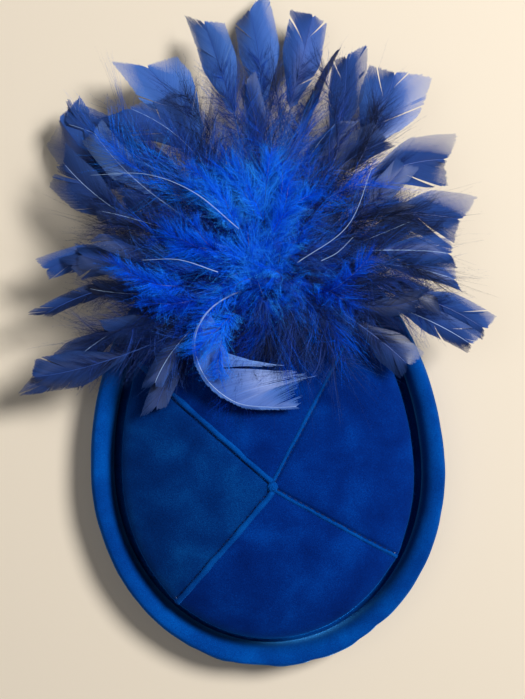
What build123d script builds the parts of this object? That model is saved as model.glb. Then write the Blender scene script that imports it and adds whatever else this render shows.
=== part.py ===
from build123d import *
from math import cos, radians, sin
import os

# Small velvet cocktail hat: a domed four-panel crown inside a padded, turned-up brim, with a burst
# of dyed feathers at one end. All sizes are in millimetres.
# +Z is up, +Y runs towards the feathered end, +X to the hat's right. The origin lies in the plane
# the brim rests on, at the widest point of the egg-shaped outline.

# Egg outline of the crown: two half ellipses that share one half width.
CROWN_HALF_WIDTH = 65.5
CROWN_REAR_LENGTH = 74.0
CROWN_FRONT_LENGTH = 97.0

# Crown heights and the layers that build it up, from the velvet inwards.
CROWN_EDGE_Z = 27.0
DOME_HEIGHT = 14.0
DOME_ROUNDNESS = 1.3
VELVET = 1.0
PADDING = 2.0
SHELL = 1.4
LINING = 0.6
LAYER_GAP = 0.1
WALL_FOOT_Z = 1.0

# Side layers of the crown wall, measured inwards from the egg outline.
SIDE_BAND_DEPTH = 1.1
SHELL_OUT = 1.2
SHELL_IN = 2.7
LINING_OUT = 2.8
LINING_IN = 3.4
RIBBON_OUT = 3.5
RIBBON_IN = 4.4
RIBBON_TOP_Z = 20.0

# Seams of the crown top: all four start at the crossing.
CROSSING = (1.6, -4.2)
SEAM_ANGLES = (58.5, 135.5, 226.5, 327.0)
SEAM_GAP = 0.5
WELT_WIDTH = 2.6
WELT_HEIGHT = 1.1
WELT_START = 2.3
KNOT_RADIUS = 2.0

# Brim: a flat foot that joins the crown, and an upright padded roll.
BRIM_INNER = 0.3
ROLL_CENTRE = 10.2
ROLL_HALF_WIDTH = 5.0
ROLL_HALF_HEIGHT = 10.1
ROLL_CENTRE_Z = 10.4
ROLL_SQUARENESS = 2.6
FOOT_TOP_Z = 3.2
FOOT_FLAT = 12.0
COVER = 1.0
BOARD = 1.2
BOARD_UPRIGHT_TOP_Z = 12.0
WIRE_RADIUS = 0.55

# Feather mount: felt patch on the crown, wrapped binding on the patch.
BURST = (4.0, 88.0)
PATCH_CENTRE = (4.0, 85.0)
PATCH_RADIUS = 11.0
PATCH_THICKNESS = 2.0
BINDING_RADIUS = 4.8
BINDING_TOP_Z = 48.0

# Feathers: each tier leaves the binding at its own height, so that the blades lie in layers.
QUILL_START = 5.2
QUILL_HALF_WIDTH = 0.6
BLADE_THICKNESS = 0.8
FEATHER_RISE = 0.12
FEATHER_DROP = 20.0
FEATHER_DROP_FRONT = 9.0
LOW_TIER_Z = 36.5
TIER_STEP = 2.7
CURLED_Z = 46.8
FLUFF_Z = 48.2
FLUFF_RADIUS = 22.0
FLUFF_HEIGHT = 10.0

# Direction in degrees, reach, blade width and sideways bend of every feather, tier by tier.
LOW_FEATHERS = (
    (88, 121, 19, 3),
    (110, 107, 20, 4),
    (144, 116, 18, -4),
    (168, 98, 16, 3),
    (196, 109, 18, -3),
    (222, 80, 18, 4),
    (-20, 92, 15, 3),
    (2, 82, 16, -3),
    (24, 88, 18, 4),
    (48, 111, 19, 3),
)
MIDDLE_FEATHERS = (
    (78, 119, 17, -3),
    (98, 116, 18, 4),
    (131, 110, 18, 3),
    (156, 102, 16, -3),
    (181, 99, 15, 3),
    (207, 113, 17, -4),
    (-13, 98, 16, 3),
    (12, 84, 16, 3),
    (38, 94, 18, -4),
    (60, 106, 18, 3),
)
TOP_FEATHERS = (
    (90, 84, 16, 3),
    (120, 88, 16, -3),
    (165, 82, 15, 3),
    (215, 66, 15, 3),
    (-34, 74, 15, -3),
    (28, 78, 16, 3),
    (68, 88, 14, -3),
)

# Hair clips sewn inside the ribbon, in each clip's own frame: x along the jaw, y away from the
# ribbon, z up.
CLIP_STATION = 12.0
CLIP_Z = 8.0
CLIP_STANDOFF = 2.1
PLATE = 0.8
CLIP_HALF_WIDTH = 3.5
JAW_TIP = 22.0
JAW_TAIL = -12.0
HINGE_Y = 6.3
FIXED_LUG_RADIUS = 2.0
MOVING_LUG_RADIUS = 1.9
PIN_RADIUS = 0.7
PIN_HALF_LENGTH = 3.9
FIXED_LUG_HOLE = 0.72
MOVING_LUG_HOLE = 0.76
SPRING_RADIUS = 1.35
SPRING_WIRE = 0.22
SPRING_TURNS = 4

CEILING_Z = 70.0


def egg_face(offset, z):
    """Egg outline grown by an offset, filled, at one height."""
    half = CROWN_HALF_WIDTH + offset
    rear = EllipticalCenterArc((0, 0), half, CROWN_REAR_LENGTH + offset, start_angle=180, arc_size=180)
    front = EllipticalCenterArc((0, 0), half, CROWN_FRONT_LENGTH + offset, start_angle=0, arc_size=180)
    return Pos(0, 0, z) * make_face([rear, front])


def egg_prism(offset, low, high):
    """Upright block with the egg outline."""
    return extrude(egg_face(offset, low), high - low)


def half_dome(length, side):
    """Half of a stretched ball whose edge lies on the egg outline; side is +1 for the front half."""
    edge_drop = (DOME_ROUNDNESS**2 - 1) ** 0.5
    stretch = DOME_HEIGHT / (DOME_ROUNDNESS - edge_drop)
    half_space = Pos(0, side * 5, 0) * Box(10, 10, 10)
    ball = Sphere(DOME_ROUNDNESS) & half_space
    grown = scale(ball, by=(CROWN_HALF_WIDTH, length, stretch))
    return Pos(0, 0, CROWN_EDGE_Z - edge_drop * stretch) * grown


DOME = half_dome(CROWN_FRONT_LENGTH, 1) + half_dome(CROWN_REAR_LENGTH, -1)


def dome(lift):
    """The domed crown surface, as a solid, moved up or down."""
    return Pos(0, 0, lift) * DOME


def crown_block(offset, lift, foot):
    """Everything inside the crown wall and under the dome."""
    return egg_prism(offset, foot, CEILING_Z) & dome(lift)


def save(name, shape):
    """Write one piece as a STEP file named after it."""
    shape.label = name
    export_step(shape, os.path.join("parts", name + ".step"))
    print(name, round(shape.volume, 1), "mm3", len(shape.solids()), "solid")


# Crown: velvet panels over padding over a stiff shell, lined inside.
def seam_slab(angle, start, width):
    """Upright slab along one seam line."""
    reach = 130.0
    slab = Pos(start + reach / 2, 0, CEILING_Z / 2) * Box(reach, width, CEILING_Z)
    return Pos(CROSSING[0], CROSSING[1], 0) * Rot(0, 0, angle) * slab


def crown_panels():
    """The four velvet panels, cut apart along the seams."""
    cover = crown_block(0, 0, WALL_FOOT_Z) - dome(-VELVET)
    for angle in SEAM_ANGLES:
        cover = cover - seam_slab(angle, 0, SEAM_GAP)
    pieces = cover.solids()
    names = {}
    for piece in pieces:
        centre = piece.center()
        across = centre.X - CROSSING[0]
        along = centre.Y - CROSSING[1]
        if abs(across) > abs(along):
            name = "crown_panel_right" if across > 0 else "crown_panel_left"
        else:
            name = "crown_panel_front" if along > 0 else "crown_panel_rear"
        names[name] = piece
    return names


def seam_welt(angle):
    """Raised folded seam that lies on the dome between two panels."""
    ridge = egg_prism(-0.4, CROWN_EDGE_Z, CEILING_Z) & dome(WELT_HEIGHT)
    ridge = ridge & seam_slab(angle, WELT_START, WELT_WIDTH)
    return ridge - dome(0.02)


def seam_knot():
    """Small thread knot where the four seams meet."""
    peg = Pos(CROSSING[0], CROSSING[1], CEILING_Z / 2) * Cylinder(KNOT_RADIUS, CEILING_Z)
    return (peg & dome(WELT_HEIGHT + 0.6)) - dome(0.02)


def crown_padding():
    """Thin wadding between the velvet and the shell."""
    return crown_block(-SHELL_OUT, -VELVET, CROWN_EDGE_Z - 8) - dome(-VELVET - PADDING)


def crown_shell():
    """Stiff buckram shape that carries everything."""
    top = -VELVET - PADDING
    outer = crown_block(-SHELL_OUT, top, WALL_FOOT_Z)
    inner = crown_block(-SHELL_IN, top - SHELL, WALL_FOOT_Z - 5)
    return outer - inner


def crown_lining():
    """Thin satin lining just inside the shell."""
    top = -VELVET - PADDING - SHELL - LAYER_GAP
    outer = crown_block(-LINING_OUT, top, WALL_FOOT_Z + 0.6)
    inner = crown_block(-LINING_IN, top - LINING, WALL_FOOT_Z - 5)
    return outer - inner


def egg_ring(outer, inner, low, high):
    """Upright band between two egg outlines."""
    return egg_prism(outer, low, high) - egg_prism(inner, low - 1, high + 1)


# Brim: velvet wrapped round a board, a foam roll and a wire.
def roll_sections(trim, sign, low):
    """Offset and height pairs up one flank of the padded roll."""
    pairs = []
    for angle in (-72, -50, -25, 0, 25, 45, 62, 75, 84):
        lift = abs(sin(radians(angle))) ** (2 / ROLL_SQUARENESS)
        lift = lift if angle > 0 else -lift
        swell = cos(radians(angle)) ** (2 / ROLL_SQUARENESS)
        z = ROLL_CENTRE_Z + (ROLL_HALF_HEIGHT - trim) * lift
        if z > low + 0.6:
            pairs.append((ROLL_CENTRE + sign * (ROLL_HALF_WIDTH - trim) * swell, z))
    return pairs


def brim_block(trim, inner_edge):
    """Full brim shape, shrunk by a trim so that it can also be used as the core."""
    foot = trim
    foot_top = FOOT_TOP_Z - trim
    outer_pairs = [(FOOT_FLAT - trim, foot)] + roll_sections(trim, 1, foot)
    outer = loft([egg_face(offset, z) for offset, z in outer_pairs])
    inner_pairs = roll_sections(trim, -1, foot_top)
    first = inner_pairs[0][0]
    inner_pairs = [(first - 0.2, foot_top)] + inner_pairs
    hollow = loft([egg_face(offset, z) for offset, z in inner_pairs])
    return outer - hollow - egg_prism(inner_edge, -1, CEILING_Z)


def brim_pieces():
    """Velvet cover, board, foam roll and wire of the brim."""
    cover = brim_block(0, BRIM_INNER) - brim_block(COVER, -4)
    core = brim_block(COVER, BRIM_INNER)
    half_board = BOARD / 2
    foot = egg_ring(ROLL_CENTRE + half_board, BRIM_INNER, COVER, COVER + BOARD)
    upright = egg_ring(ROLL_CENTRE + half_board, ROLL_CENTRE - half_board, COVER, BOARD_UPRIGHT_TOP_Z)
    slot_top = BOARD_UPRIGHT_TOP_Z + 2 * WIRE_RADIUS + 0.1
    slot = egg_ring(ROLL_CENTRE + half_board, ROLL_CENTRE - half_board, COVER, slot_top)
    board = foot + upright
    foam = core - foot - slot
    wire_z = BOARD_UPRIGHT_TOP_Z + WIRE_RADIUS + 0.02
    half = CROWN_HALF_WIDTH + ROLL_CENTRE
    round_section = Pos(half, 0, wire_z) * Rot(90, 0, 0) * Circle(WIRE_RADIUS)
    front_path = Pos(0, 0, wire_z) * EllipticalCenterArc(
        (0, 0), half, CROWN_FRONT_LENGTH + ROLL_CENTRE, start_angle=0, arc_size=180
    )
    rear_path = Pos(0, 0, wire_z) * EllipticalCenterArc(
        (0, 0), half, CROWN_REAR_LENGTH + ROLL_CENTRE, start_angle=0, arc_size=-180
    )
    wire = sweep(round_section, path=front_path) + sweep(round_section, path=rear_path)
    return {"brim_velvet": cover, "brim_board": board, "brim_foam": foam, "brim_wire": wire}


# Feather mount and feathers.
def feather_patch():
    """Felt patch that follows the dome."""
    disc = Pos(PATCH_CENTRE[0], PATCH_CENTRE[1], CEILING_Z / 2) * Cylinder(PATCH_RADIUS, CEILING_Z)
    disc = disc & egg_prism(-0.5, 0, CEILING_Z)
    return (disc & dome(PATCH_THICKNESS)) - dome(0.02)


def feather_binding():
    """Thread-wrapped bundle that holds the quills."""
    peg_height = BINDING_TOP_Z - CROWN_EDGE_Z
    peg = Pos(BURST[0], BURST[1], CROWN_EDGE_Z + peg_height / 2) * Cylinder(BINDING_RADIUS, peg_height)
    return peg - dome(PATCH_THICKNESS + 0.05)


def feather_height(reach, direction, tier_z):
    """Height of a feather's spine at one distance from the binding."""
    drop = FEATHER_DROP + FEATHER_DROP_FRONT * sin(radians(direction))
    return tier_z + FEATHER_RISE * reach - drop * (reach / 100) ** 2


def feather(direction, reach, width, bend, tier_z):
    """One long feather: a thin arched blade on a narrow quill."""
    length = reach - QUILL_START
    shape = ((0.22, 0.06), (0.4, 0.55), (0.6, 0.95), (0.75, 1.0), (0.9, 0.8), (1.0, 0.4))
    left = []
    right = []
    for part, fullness in shape:
        x = QUILL_START + part * length
        spine = bend * part**2
        half = max(fullness * width / 2, QUILL_HALF_WIDTH)
        left.append((x, spine + half))
        right.append((x, spine - half))
    outline = make_face(
        [
            Line((QUILL_START, QUILL_HALF_WIDTH), left[0]),
            Spline(left),
            Line(left[-1], right[-1]),
            Spline(right),
            Line(right[0], (QUILL_START, -QUILL_HALF_WIDTH)),
            Line((QUILL_START, -QUILL_HALF_WIDTH), (QUILL_START, QUILL_HALF_WIDTH)),
        ]
    )
    stations = [reach * step / 5 for step in range(7)]
    half = BLADE_THICKNESS / 2
    under = [(x, feather_height(x, direction, tier_z) - half) for x in stations]
    over = [(x, z + BLADE_THICKNESS) for x, z in under]
    side_view = make_face(
        [Spline(under), Line(under[-1], over[-1]), Spline(over), Line(over[0], under[0])]
    )
    strip = extrude(Plane.XZ * side_view, width, both=True)
    blade = extrude(outline, CEILING_Z) & strip
    return Pos(BURST[0], BURST[1], 0) * Rot(0, 0, direction) * blade


def curled_feather():
    """The flat feather that curls back over the crown."""
    outer = [(-3.8, -4.4), (-17, -6.5), (-29, -14), (-35.5, -28), (-31, -45), (-17, -58), (-1.5, -61), (12, -60)]
    inner = [(13, -45), (-1, -42), (-13, -34), (-19, -24), (-14, -14), (-3.2, -5.2)]
    outline = make_face(
        [
            Spline(outer),
            Line(outer[-1], inner[0]),
            Spline(inner),
            Line(inner[-1], outer[0]),
        ]
    )
    return Pos(BURST[0], BURST[1], CURLED_Z) * extrude(outline, BLADE_THICKNESS)


def centre_fluff():
    """Soft dome of short fluff over the binding."""
    ball = scale(Sphere(1), by=(FLUFF_RADIUS, FLUFF_RADIUS, FLUFF_HEIGHT))
    upper = ball & Pos(0, 0, FLUFF_HEIGHT) * Box(100, 100, 2 * FLUFF_HEIGHT)
    return Pos(BURST[0], BURST[1], FLUFF_Z) * upper


# Hair clips.
def clip_plane(side):
    """Frame of one clip on the inside of the ribbon; side is +1 right, -1 left."""
    half = CROWN_HALF_WIDTH - RIBBON_IN
    front = CROWN_FRONT_LENGTH - RIBBON_IN
    station = radians(CLIP_STATION)
    along = Vector(-side * half * sin(station), front * cos(station), 0).normalized() * side
    point = (side * half * cos(station), front * sin(station), CLIP_Z)
    return Plane(origin=point, x_dir=along, z_dir=(0, 0, 1))


def slab(low_x, high_x, low_y, high_y, low_z, high_z):
    """Box given by its limits."""
    middle = Pos((low_x + high_x) / 2, (low_y + high_y) / 2, (low_z + high_z) / 2)
    return middle * Box(high_x - low_x, high_y - low_y, high_z - low_z)


def lug(radius, foot_y, low_z, high_z, hole):
    """Round ear about the hinge, with its foot on a plate."""
    thick = high_z - low_z
    middle = Pos(0, HINGE_Y, (low_z + high_z) / 2)
    ear = middle * Cylinder(radius, thick)
    ear = ear + slab(-radius, radius, min(foot_y, HINGE_Y), max(foot_y, HINGE_Y), low_z, high_z)
    return ear - middle * Cylinder(hole, thick + 1)


def clip_fixed_jaw():
    """Flat plate sewn to the ribbon, with two ears."""
    top = CLIP_STANDOFF + PLATE
    jaw = slab(JAW_TAIL, JAW_TIP, CLIP_STANDOFF, top, -CLIP_HALF_WIDTH, CLIP_HALF_WIDTH)
    for low, high in ((-3.5, -2.7), (2.7, 3.5)):
        jaw = jaw + lug(FIXED_LUG_RADIUS, top, low, high, FIXED_LUG_HOLE)
    return jaw


def clip_moving_jaw():
    """Bent plate that pinches the hair against the fixed jaw."""
    under = [(JAW_TIP, 3.3), (3.0, 8.6), (-3.0, 8.6), (JAW_TAIL - 1, 12.5)]
    over = [(JAW_TAIL - 1.3, 13.2), (-3.1, 9.4), (3.2, 9.4), (JAW_TIP + 0.2, 4.1)]
    profile = make_face(Polyline(under + over, close=True))
    jaw = extrude(profile, 3.3, both=True)
    for low, high in ((-2.4, -1.6), (1.6, 2.4)):
        jaw = jaw + lug(MOVING_LUG_RADIUS, 8.8, low, high, MOVING_LUG_HOLE)
    return jaw


def clip_pin():
    """Hinge pin."""
    return Pos(0, HINGE_Y, 0) * Cylinder(PIN_RADIUS, 2 * PIN_HALF_LENGTH)


def clip_spring():
    """Torsion spring coiled round the pin, with one long leg on the fixed jaw."""
    pitch = 2.5 * SPRING_WIRE
    height = pitch * SPRING_TURNS
    path = Helix(pitch, height, SPRING_RADIUS)
    section = Plane(origin=path @ 0, z_dir=path % 0) * Circle(SPRING_WIRE)
    coil = Pos(0, HINGE_Y, -height / 2) * Rot(0, 0, -90) * sweep(section, path=path, is_frenet=True)
    start = Vector(0.3, HINGE_Y - SPRING_RADIUS, -height / 2)
    finish = Vector(JAW_TAIL + 4, CLIP_STANDOFF + PLATE + 0.35, -height / 2)
    leg_path = Line(start, finish)
    leg = sweep(Plane(origin=start, z_dir=finish - start) * Circle(SPRING_WIRE), path=leg_path)
    return coil, leg


def clip_stitches():
    """Short thread bars between the ribbon and the fixed jaw."""
    bars = []
    for x in (-7, 7):
        for z in (-2, 2):
            bar = Pos(x, 1.2, z) * Rot(90, 0, 0) * Cylinder(0.45, 1.7)
            bars.append(bar)
    return bars


os.makedirs("parts", exist_ok=True)

for name, panel in crown_panels().items():
    save(name, panel)
for number, angle in enumerate(SEAM_ANGLES, start=1):
    save(f"crown_seam_{number}", seam_welt(angle))
save("seam_knot", seam_knot())
save("crown_padding", crown_padding())
save("crown_shell", crown_shell())
save("crown_lining", crown_lining())
save("crown_side_band", egg_ring(0, -SIDE_BAND_DEPTH, WALL_FOOT_Z, CROWN_EDGE_Z - VELVET - 0.1))
save("ribbon_sweatband", egg_ring(-RIBBON_OUT, -RIBBON_IN, WALL_FOOT_Z + 0.5, RIBBON_TOP_Z))

for name, piece in brim_pieces().items():
    save(name, piece)

save("feather_patch", feather_patch())
save("feather_binding", feather_binding())
for tier, (word, feathers) in enumerate(
    (("low", LOW_FEATHERS), ("middle", MIDDLE_FEATHERS), ("top", TOP_FEATHERS))
):
    tier_z = LOW_TIER_Z + tier * TIER_STEP
    for number, (direction, reach, width, bend) in enumerate(feathers, start=1):
        save(f"{word}_feather_{number:02d}", feather(direction, reach, width, bend, tier_z))
save("curled_feather", curled_feather())
save("centre_fluff", centre_fluff())

for word, side in (("right", 1), ("left", -1)):
    place = clip_plane(side).location
    save(f"{word}_clip_fixed_jaw", place * clip_fixed_jaw())
    save(f"{word}_clip_moving_jaw", place * clip_moving_jaw())
    save(f"{word}_clip_pin", place * clip_pin())
    coil, leg = clip_spring()
    save(f"{word}_clip_spring", place * (coil + leg))
    save(f"{word}_clip_stitches", place * Compound(children=clip_stitches()))
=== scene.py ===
# %% [markdown]
# # A small velvet cocktail hat with a burst of dyed feathers
#
# The hat is a domed crown of four velvet panels inside a padded, turned-up brim. A burst of dyed
# turkey plumage is tied to one end. The stiff parts, and the place and size of every soft part,
# come from the CAD frame; this lesson makes what the eye sees: pile, piping, stitching and down.

# %% Load the frame
import math

import bpy
import numpy as np
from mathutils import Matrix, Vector


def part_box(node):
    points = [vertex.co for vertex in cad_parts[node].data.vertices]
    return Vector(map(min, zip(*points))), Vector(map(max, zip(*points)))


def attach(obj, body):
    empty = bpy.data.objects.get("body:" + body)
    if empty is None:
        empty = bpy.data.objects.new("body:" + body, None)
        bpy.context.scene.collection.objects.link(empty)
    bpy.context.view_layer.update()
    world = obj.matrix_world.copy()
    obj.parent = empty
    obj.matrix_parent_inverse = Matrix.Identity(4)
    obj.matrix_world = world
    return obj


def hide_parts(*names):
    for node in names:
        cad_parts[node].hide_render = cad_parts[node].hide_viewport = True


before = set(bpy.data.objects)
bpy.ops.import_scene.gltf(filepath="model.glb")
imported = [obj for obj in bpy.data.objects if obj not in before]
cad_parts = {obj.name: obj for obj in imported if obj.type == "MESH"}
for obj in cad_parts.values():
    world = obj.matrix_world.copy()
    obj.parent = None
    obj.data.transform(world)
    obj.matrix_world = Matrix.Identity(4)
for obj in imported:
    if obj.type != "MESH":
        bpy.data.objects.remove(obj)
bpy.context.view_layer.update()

MM = 0.001


# %% [markdown]
# ## Places and sizes
#
# Every soft piece replaces a plain CAD solid, so its size is read from the box of that solid.
# The outline of crown and brim is an egg: two half ellipses that share one half width. All
# lengths in this lesson are worked out in millimetres and turned to metres when a mesh is made.

# %% Sizes read from the frame
def box_mm(node):
    low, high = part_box(node)
    return np.array(low) / MM, np.array(high) / MM


band_low, band_high = box_mm("crown_side_band")
HALF_WIDTH = (band_high[0] - band_low[0]) / 2
REAR, FRONT = -band_low[1], band_high[1]
BAND_FOOT, BAND_TOP = band_low[2], band_high[2]
EDGE_Z = BAND_TOP + 1.1
DOME_TOP = box_mm("crown_panel_front")[1][2]
DOME_HEIGHT = DOME_TOP - EDGE_Z
brim_high = box_mm("brim_velvet")[1]
BRIM_OUT = brim_high[0] - HALF_WIDTH
BRIM_TOP = brim_high[2]
knot_low, knot_high = box_mm("seam_knot")
CROSSING = (knot_low + knot_high)[:2] / 2
binding_low, binding_high = box_mm("feather_binding")
BURST = np.append((binding_low + binding_high)[:2] / 2, 0.0)
BINDING_RADIUS = (binding_high[0] - binding_low[0]) / 2
BINDING_TOP = binding_high[2]
print("crown", HALF_WIDTH * 2, "x", REAR + FRONT, "mm, burst at", np.round(BURST, 1))


# %% Egg outline and dome height
ROUNDNESS = 1.3  # radius of the ball that the dome is cut from, for an outline of radius 1


def egg(turn, grow=0.0):
    """Points of the egg outline at angles in radians, grown outwards by millimetres."""
    turn = np.asarray(turn, float)
    length = np.where(np.sin(turn) >= 0, FRONT, REAR) + grow
    return (HALF_WIDTH + grow) * np.cos(turn), length * np.sin(turn)


def dome_z(x, y):
    """Height of the crown's surface above the rest plane."""
    length = np.where(np.asarray(y) >= 0, FRONT, REAR)
    r2 = np.minimum((np.asarray(x) / HALF_WIDTH) ** 2 + (np.asarray(y) / length) ** 2, 1.0)
    foot = math.sqrt(ROUNDNESS**2 - 1)
    return EDGE_Z + DOME_HEIGHT * (np.sqrt(ROUNDNESS**2 - r2) - foot) / (ROUNDNESS - foot)


print("dome height over the crossing", round(float(dome_z(*CROSSING)), 1))


# %% Mesh helpers
def make_piece(name, points, faces, material, node=None):
    """A smooth mesh piece from points in millimetres; it rides the hat and may replace CAD nodes."""
    mesh = bpy.data.meshes.new(name)
    mesh.from_pydata((np.asarray(points) * MM).tolist(), [], faces)
    mesh.validate()
    mesh.polygons.foreach_set("use_smooth", [True] * len(mesh.polygons))
    mesh.materials.append(material)
    piece = bpy.data.objects.new(name, mesh)
    bpy.context.collection.objects.link(piece)
    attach(piece, "hat")
    if node:
        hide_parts(*([node] if isinstance(node, str) else node))
    return piece


def grid_faces(rows, columns, close_columns=False, first=0):
    """Quads of a grid of points stored row by row."""
    faces = []
    last = columns if close_columns else columns - 1
    for row in range(rows - 1):
        for column in range(last):
            a = first + row * columns + column
            b = first + row * columns + (column + 1) % columns
            faces.append((a, b, b + columns, a + columns))
    return faces


def turned_piece(name, rows, columns, place, material, node):
    """A closed round body: place(row, turn) gives each point, and both ends are capped."""
    points = [place(row, math.tau * column / columns) for row in range(rows) for column in range(columns)]
    faces = grid_faces(rows, columns, close_columns=True)
    faces.append(tuple(reversed(range(columns))))
    faces.append(tuple(range((rows - 1) * columns, rows * columns)))
    return make_piece(name, points, faces, material, node)


def ripple(x, y, size, seed):
    """Smooth, repeatable unevenness between -1 and 1 with bumps of about the given size."""
    rng = np.random.default_rng(seed)
    total = 0.0
    for _ in range(5):
        angle, phase = rng.uniform(0, math.tau, 2)
        step = size * rng.uniform(0.7, 1.5)
        total = total + np.sin((x * math.cos(angle) + y * math.sin(angle)) * math.tau / step + phase)
    return total / 5


print("a 2 by 3 grid has the faces", grid_faces(2, 3))


# %% [markdown]
# ## Camera, light and floor
#
# The hat lies on a pale table and is seen from straight above, with its long axis leaning a few
# degrees. One large soft light stands to the right like a window, and a weak one overhead fills
# the shadows. Velvet and down show their shape only under light that comes from the side.

# %% Camera
CAMERA_HEIGHT = 0.600
FRAME_HEIGHT = 0.3195  # what the picture's long side takes in at the height of the brim
BRIM_MIDDLE_Z = 0.015
HAT_LEAN = math.radians(3.5)

camera_data = bpy.data.cameras.new("camera")
camera_data.sensor_fit = "AUTO"
camera_data.sensor_width = 36.0
camera_data.lens = 36.0 / (FRAME_HEIGHT / (CAMERA_HEIGHT - BRIM_MIDDLE_Z))
camera = bpy.data.objects.new("camera", camera_data)
camera.location = (0.0009, 0.0560, CAMERA_HEIGHT)
camera.rotation_euler = (0, 0, -HAT_LEAN)
bpy.context.collection.objects.link(camera)
bpy.context.scene.camera = camera
print("lens", round(camera_data.lens, 1), "mm")


# %% Lights
def soft_light(name, place, target, size, power, colour):
    data = bpy.data.lights.new(name, "AREA")
    data.shape, data.size, data.energy, data.color = "DISK", size, power, colour
    lamp = bpy.data.objects.new(name, data)
    lamp.location = place
    lamp.rotation_euler = (Vector(target) - Vector(place)).to_track_quat("-Z", "Y").to_euler()
    bpy.context.collection.objects.link(lamp)


HAT_MIDDLE = (0, 0.04, 0)
soft_light("window", (0.85, 0.46, 1.20), HAT_MIDDLE, 0.5, 29.0, (1.0, 0.985, 0.965))
soft_light("overhead_fill", (-0.45, 0.10, 1.25), HAT_MIDDLE, 1.0, 2.4, (0.95, 0.97, 1.0))

world = bpy.data.worlds.new("studio")
bpy.context.scene.world = world
world.use_nodes = True
sky = world.node_tree.nodes["Background"]
sky.inputs["Color"].default_value = (0.96, 0.94, 0.93, 1)
sky.inputs["Strength"].default_value = 0.115
bpy.context.scene.view_settings.view_transform = "Standard"
bpy.context.scene.view_settings.look = "None"
print("lamps", [lamp.name for lamp in bpy.data.lights])


# %% [markdown]
# ## Finishes
#
# Colours are written as the hex values a dyer would match, and turned to linear light by one
# function. Patterns use object coordinates, which are metres, so every scale below is the
# number of repeats in a metre: 1 divided by the real spacing.

# %% Material helpers
def linear(code):
    """Linear RGBA of an sRGB hex colour."""
    parts = [int(code[i : i + 2], 16) / 255 for i in (1, 3, 5)]
    return [p / 12.92 if p <= 0.04045 else ((p + 0.055) / 1.055) ** 2.4 for p in parts] + [1.0]


def add_node(tree, kind, settings=None, values=None, links=None):
    """One shader node: properties, input values, and links given as input name to output."""
    node = tree.nodes.new(kind)
    for key, value in (settings or {}).items():
        setattr(node, key, value)
    for key, value in (values or {}).items():
        node.inputs[key].default_value = value
    for key, output in (links or {}).items():
        tree.links.new(output, node.inputs[key])
    return node


def new_material(name, values):
    """A material with its Principled shader set; returns material, tree and shader."""
    material = bpy.data.materials.new(name)
    material.use_nodes = True
    tree = material.node_tree
    shader = tree.nodes["Principled BSDF"]
    for key, value in values.items():
        shader.inputs[key].default_value = value
    material.diffuse_color = values.get("Base Color", (0.5, 0.5, 0.5, 1))
    return material, tree, shader


def ramp(tree, factor, stops):
    """A colour ramp from (position, hex) stops."""
    node = add_node(tree, "ShaderNodeValToRGB", links={"Fac": factor})
    band = node.color_ramp.elements
    band[0].position, band[0].color = stops[0][0], linear(stops[0][1])
    band[1].position, band[1].color = stops[-1][0], linear(stops[-1][1])
    for position, code in stops[1:-1]:
        band.new(position).color = linear(code)
    return node


def object_place(tree):
    """Object coordinates, in metres."""
    return add_node(tree, "ShaderNodeTexCoord").outputs["Object"]


def paint(tree, shader, factor, stops):
    """Base colour from a ramp over a factor."""
    tree.links.new(ramp(tree, factor, stops).outputs["Color"], shader.inputs["Base Color"])


def emboss(tree, shader, height, strength, depth):
    """A fine relief; depth is in metres."""
    bump = add_node(tree, "ShaderNodeBump", values={"Strength": strength, "Distance": depth},
                    links={"Height": height})
    tree.links.new(bump.outputs["Normal"], shader.inputs["Normal"])


def mix(tree, kind, factor, links, values=None):
    """A mix node of data type kind; factor is a number or an output."""
    fixed, linked = dict(values or {}), dict(links)
    (fixed if isinstance(factor, float) else linked)["Factor"] = factor
    return add_node(tree, "ShaderNodeMix", {"data_type": kind}, fixed, linked).outputs["Result"]


print("a mid grey in linear light is", round(linear("#808080")[0], 3))


# %% [markdown]
# ### Silk velvet
#
# Velvet is a woven ground with a dense upright pile. Looked at straight on, light falls into the
# pile and it is nearly black-blue; seen along the pile the fibre tips catch light and it glows.
# A sheen lobe gives that. Hand and steam marks leave the pile leaning in patches, so a slow noise
# changes the colour, and a fine one stands for the fibre tips.

# %% Velvet
PILE_SPACING = 0.45 * MM  # real pile is finer; this is the finest that still shows
CRUSH_SIZE = 20 * MM
PILE_SHARE = 0.55  # how much of the colour's change is fine pile, and the rest is crush


def velvet(name, deep, middle, bright, sheen, relief=0.35):
    """Pile fabric: deep, middle and bright are the colours of pile leaning away, up and along."""
    material, tree, shader = new_material(name, {
        "Base Color": linear(middle), "Roughness": 0.95, "IOR": 1.45, "Specular IOR Level": 0.04,
        "Sheen Weight": 1.0, "Sheen Roughness": 0.32, "Sheen Tint": linear(sheen)})
    place = object_place(tree)
    crush = add_node(tree, "ShaderNodeTexNoise", links={"Vector": place}, values={
        "Scale": 1 / CRUSH_SIZE, "Detail": 3.0, "Roughness": 0.5, "Distortion": 0.3})
    pile = add_node(tree, "ShaderNodeTexNoise", links={"Vector": place}, values={
        "Scale": 1 / PILE_SPACING, "Detail": 3.0, "Roughness": 0.7})
    both = mix(tree, "FLOAT", PILE_SHARE, {"A": crush.outputs["Fac"], "B": pile.outputs["Fac"]})
    paint(tree, shader, both, ((0.32, deep), (0.5, middle), (0.70, bright)))
    emboss(tree, shader, pile.outputs["Fac"], relief, 0.3 * MM)
    return material


CROWN_VELVET = velvet("crown_silk_velvet", "#001450", "#002470", "#00409c", "#1488f4")
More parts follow.
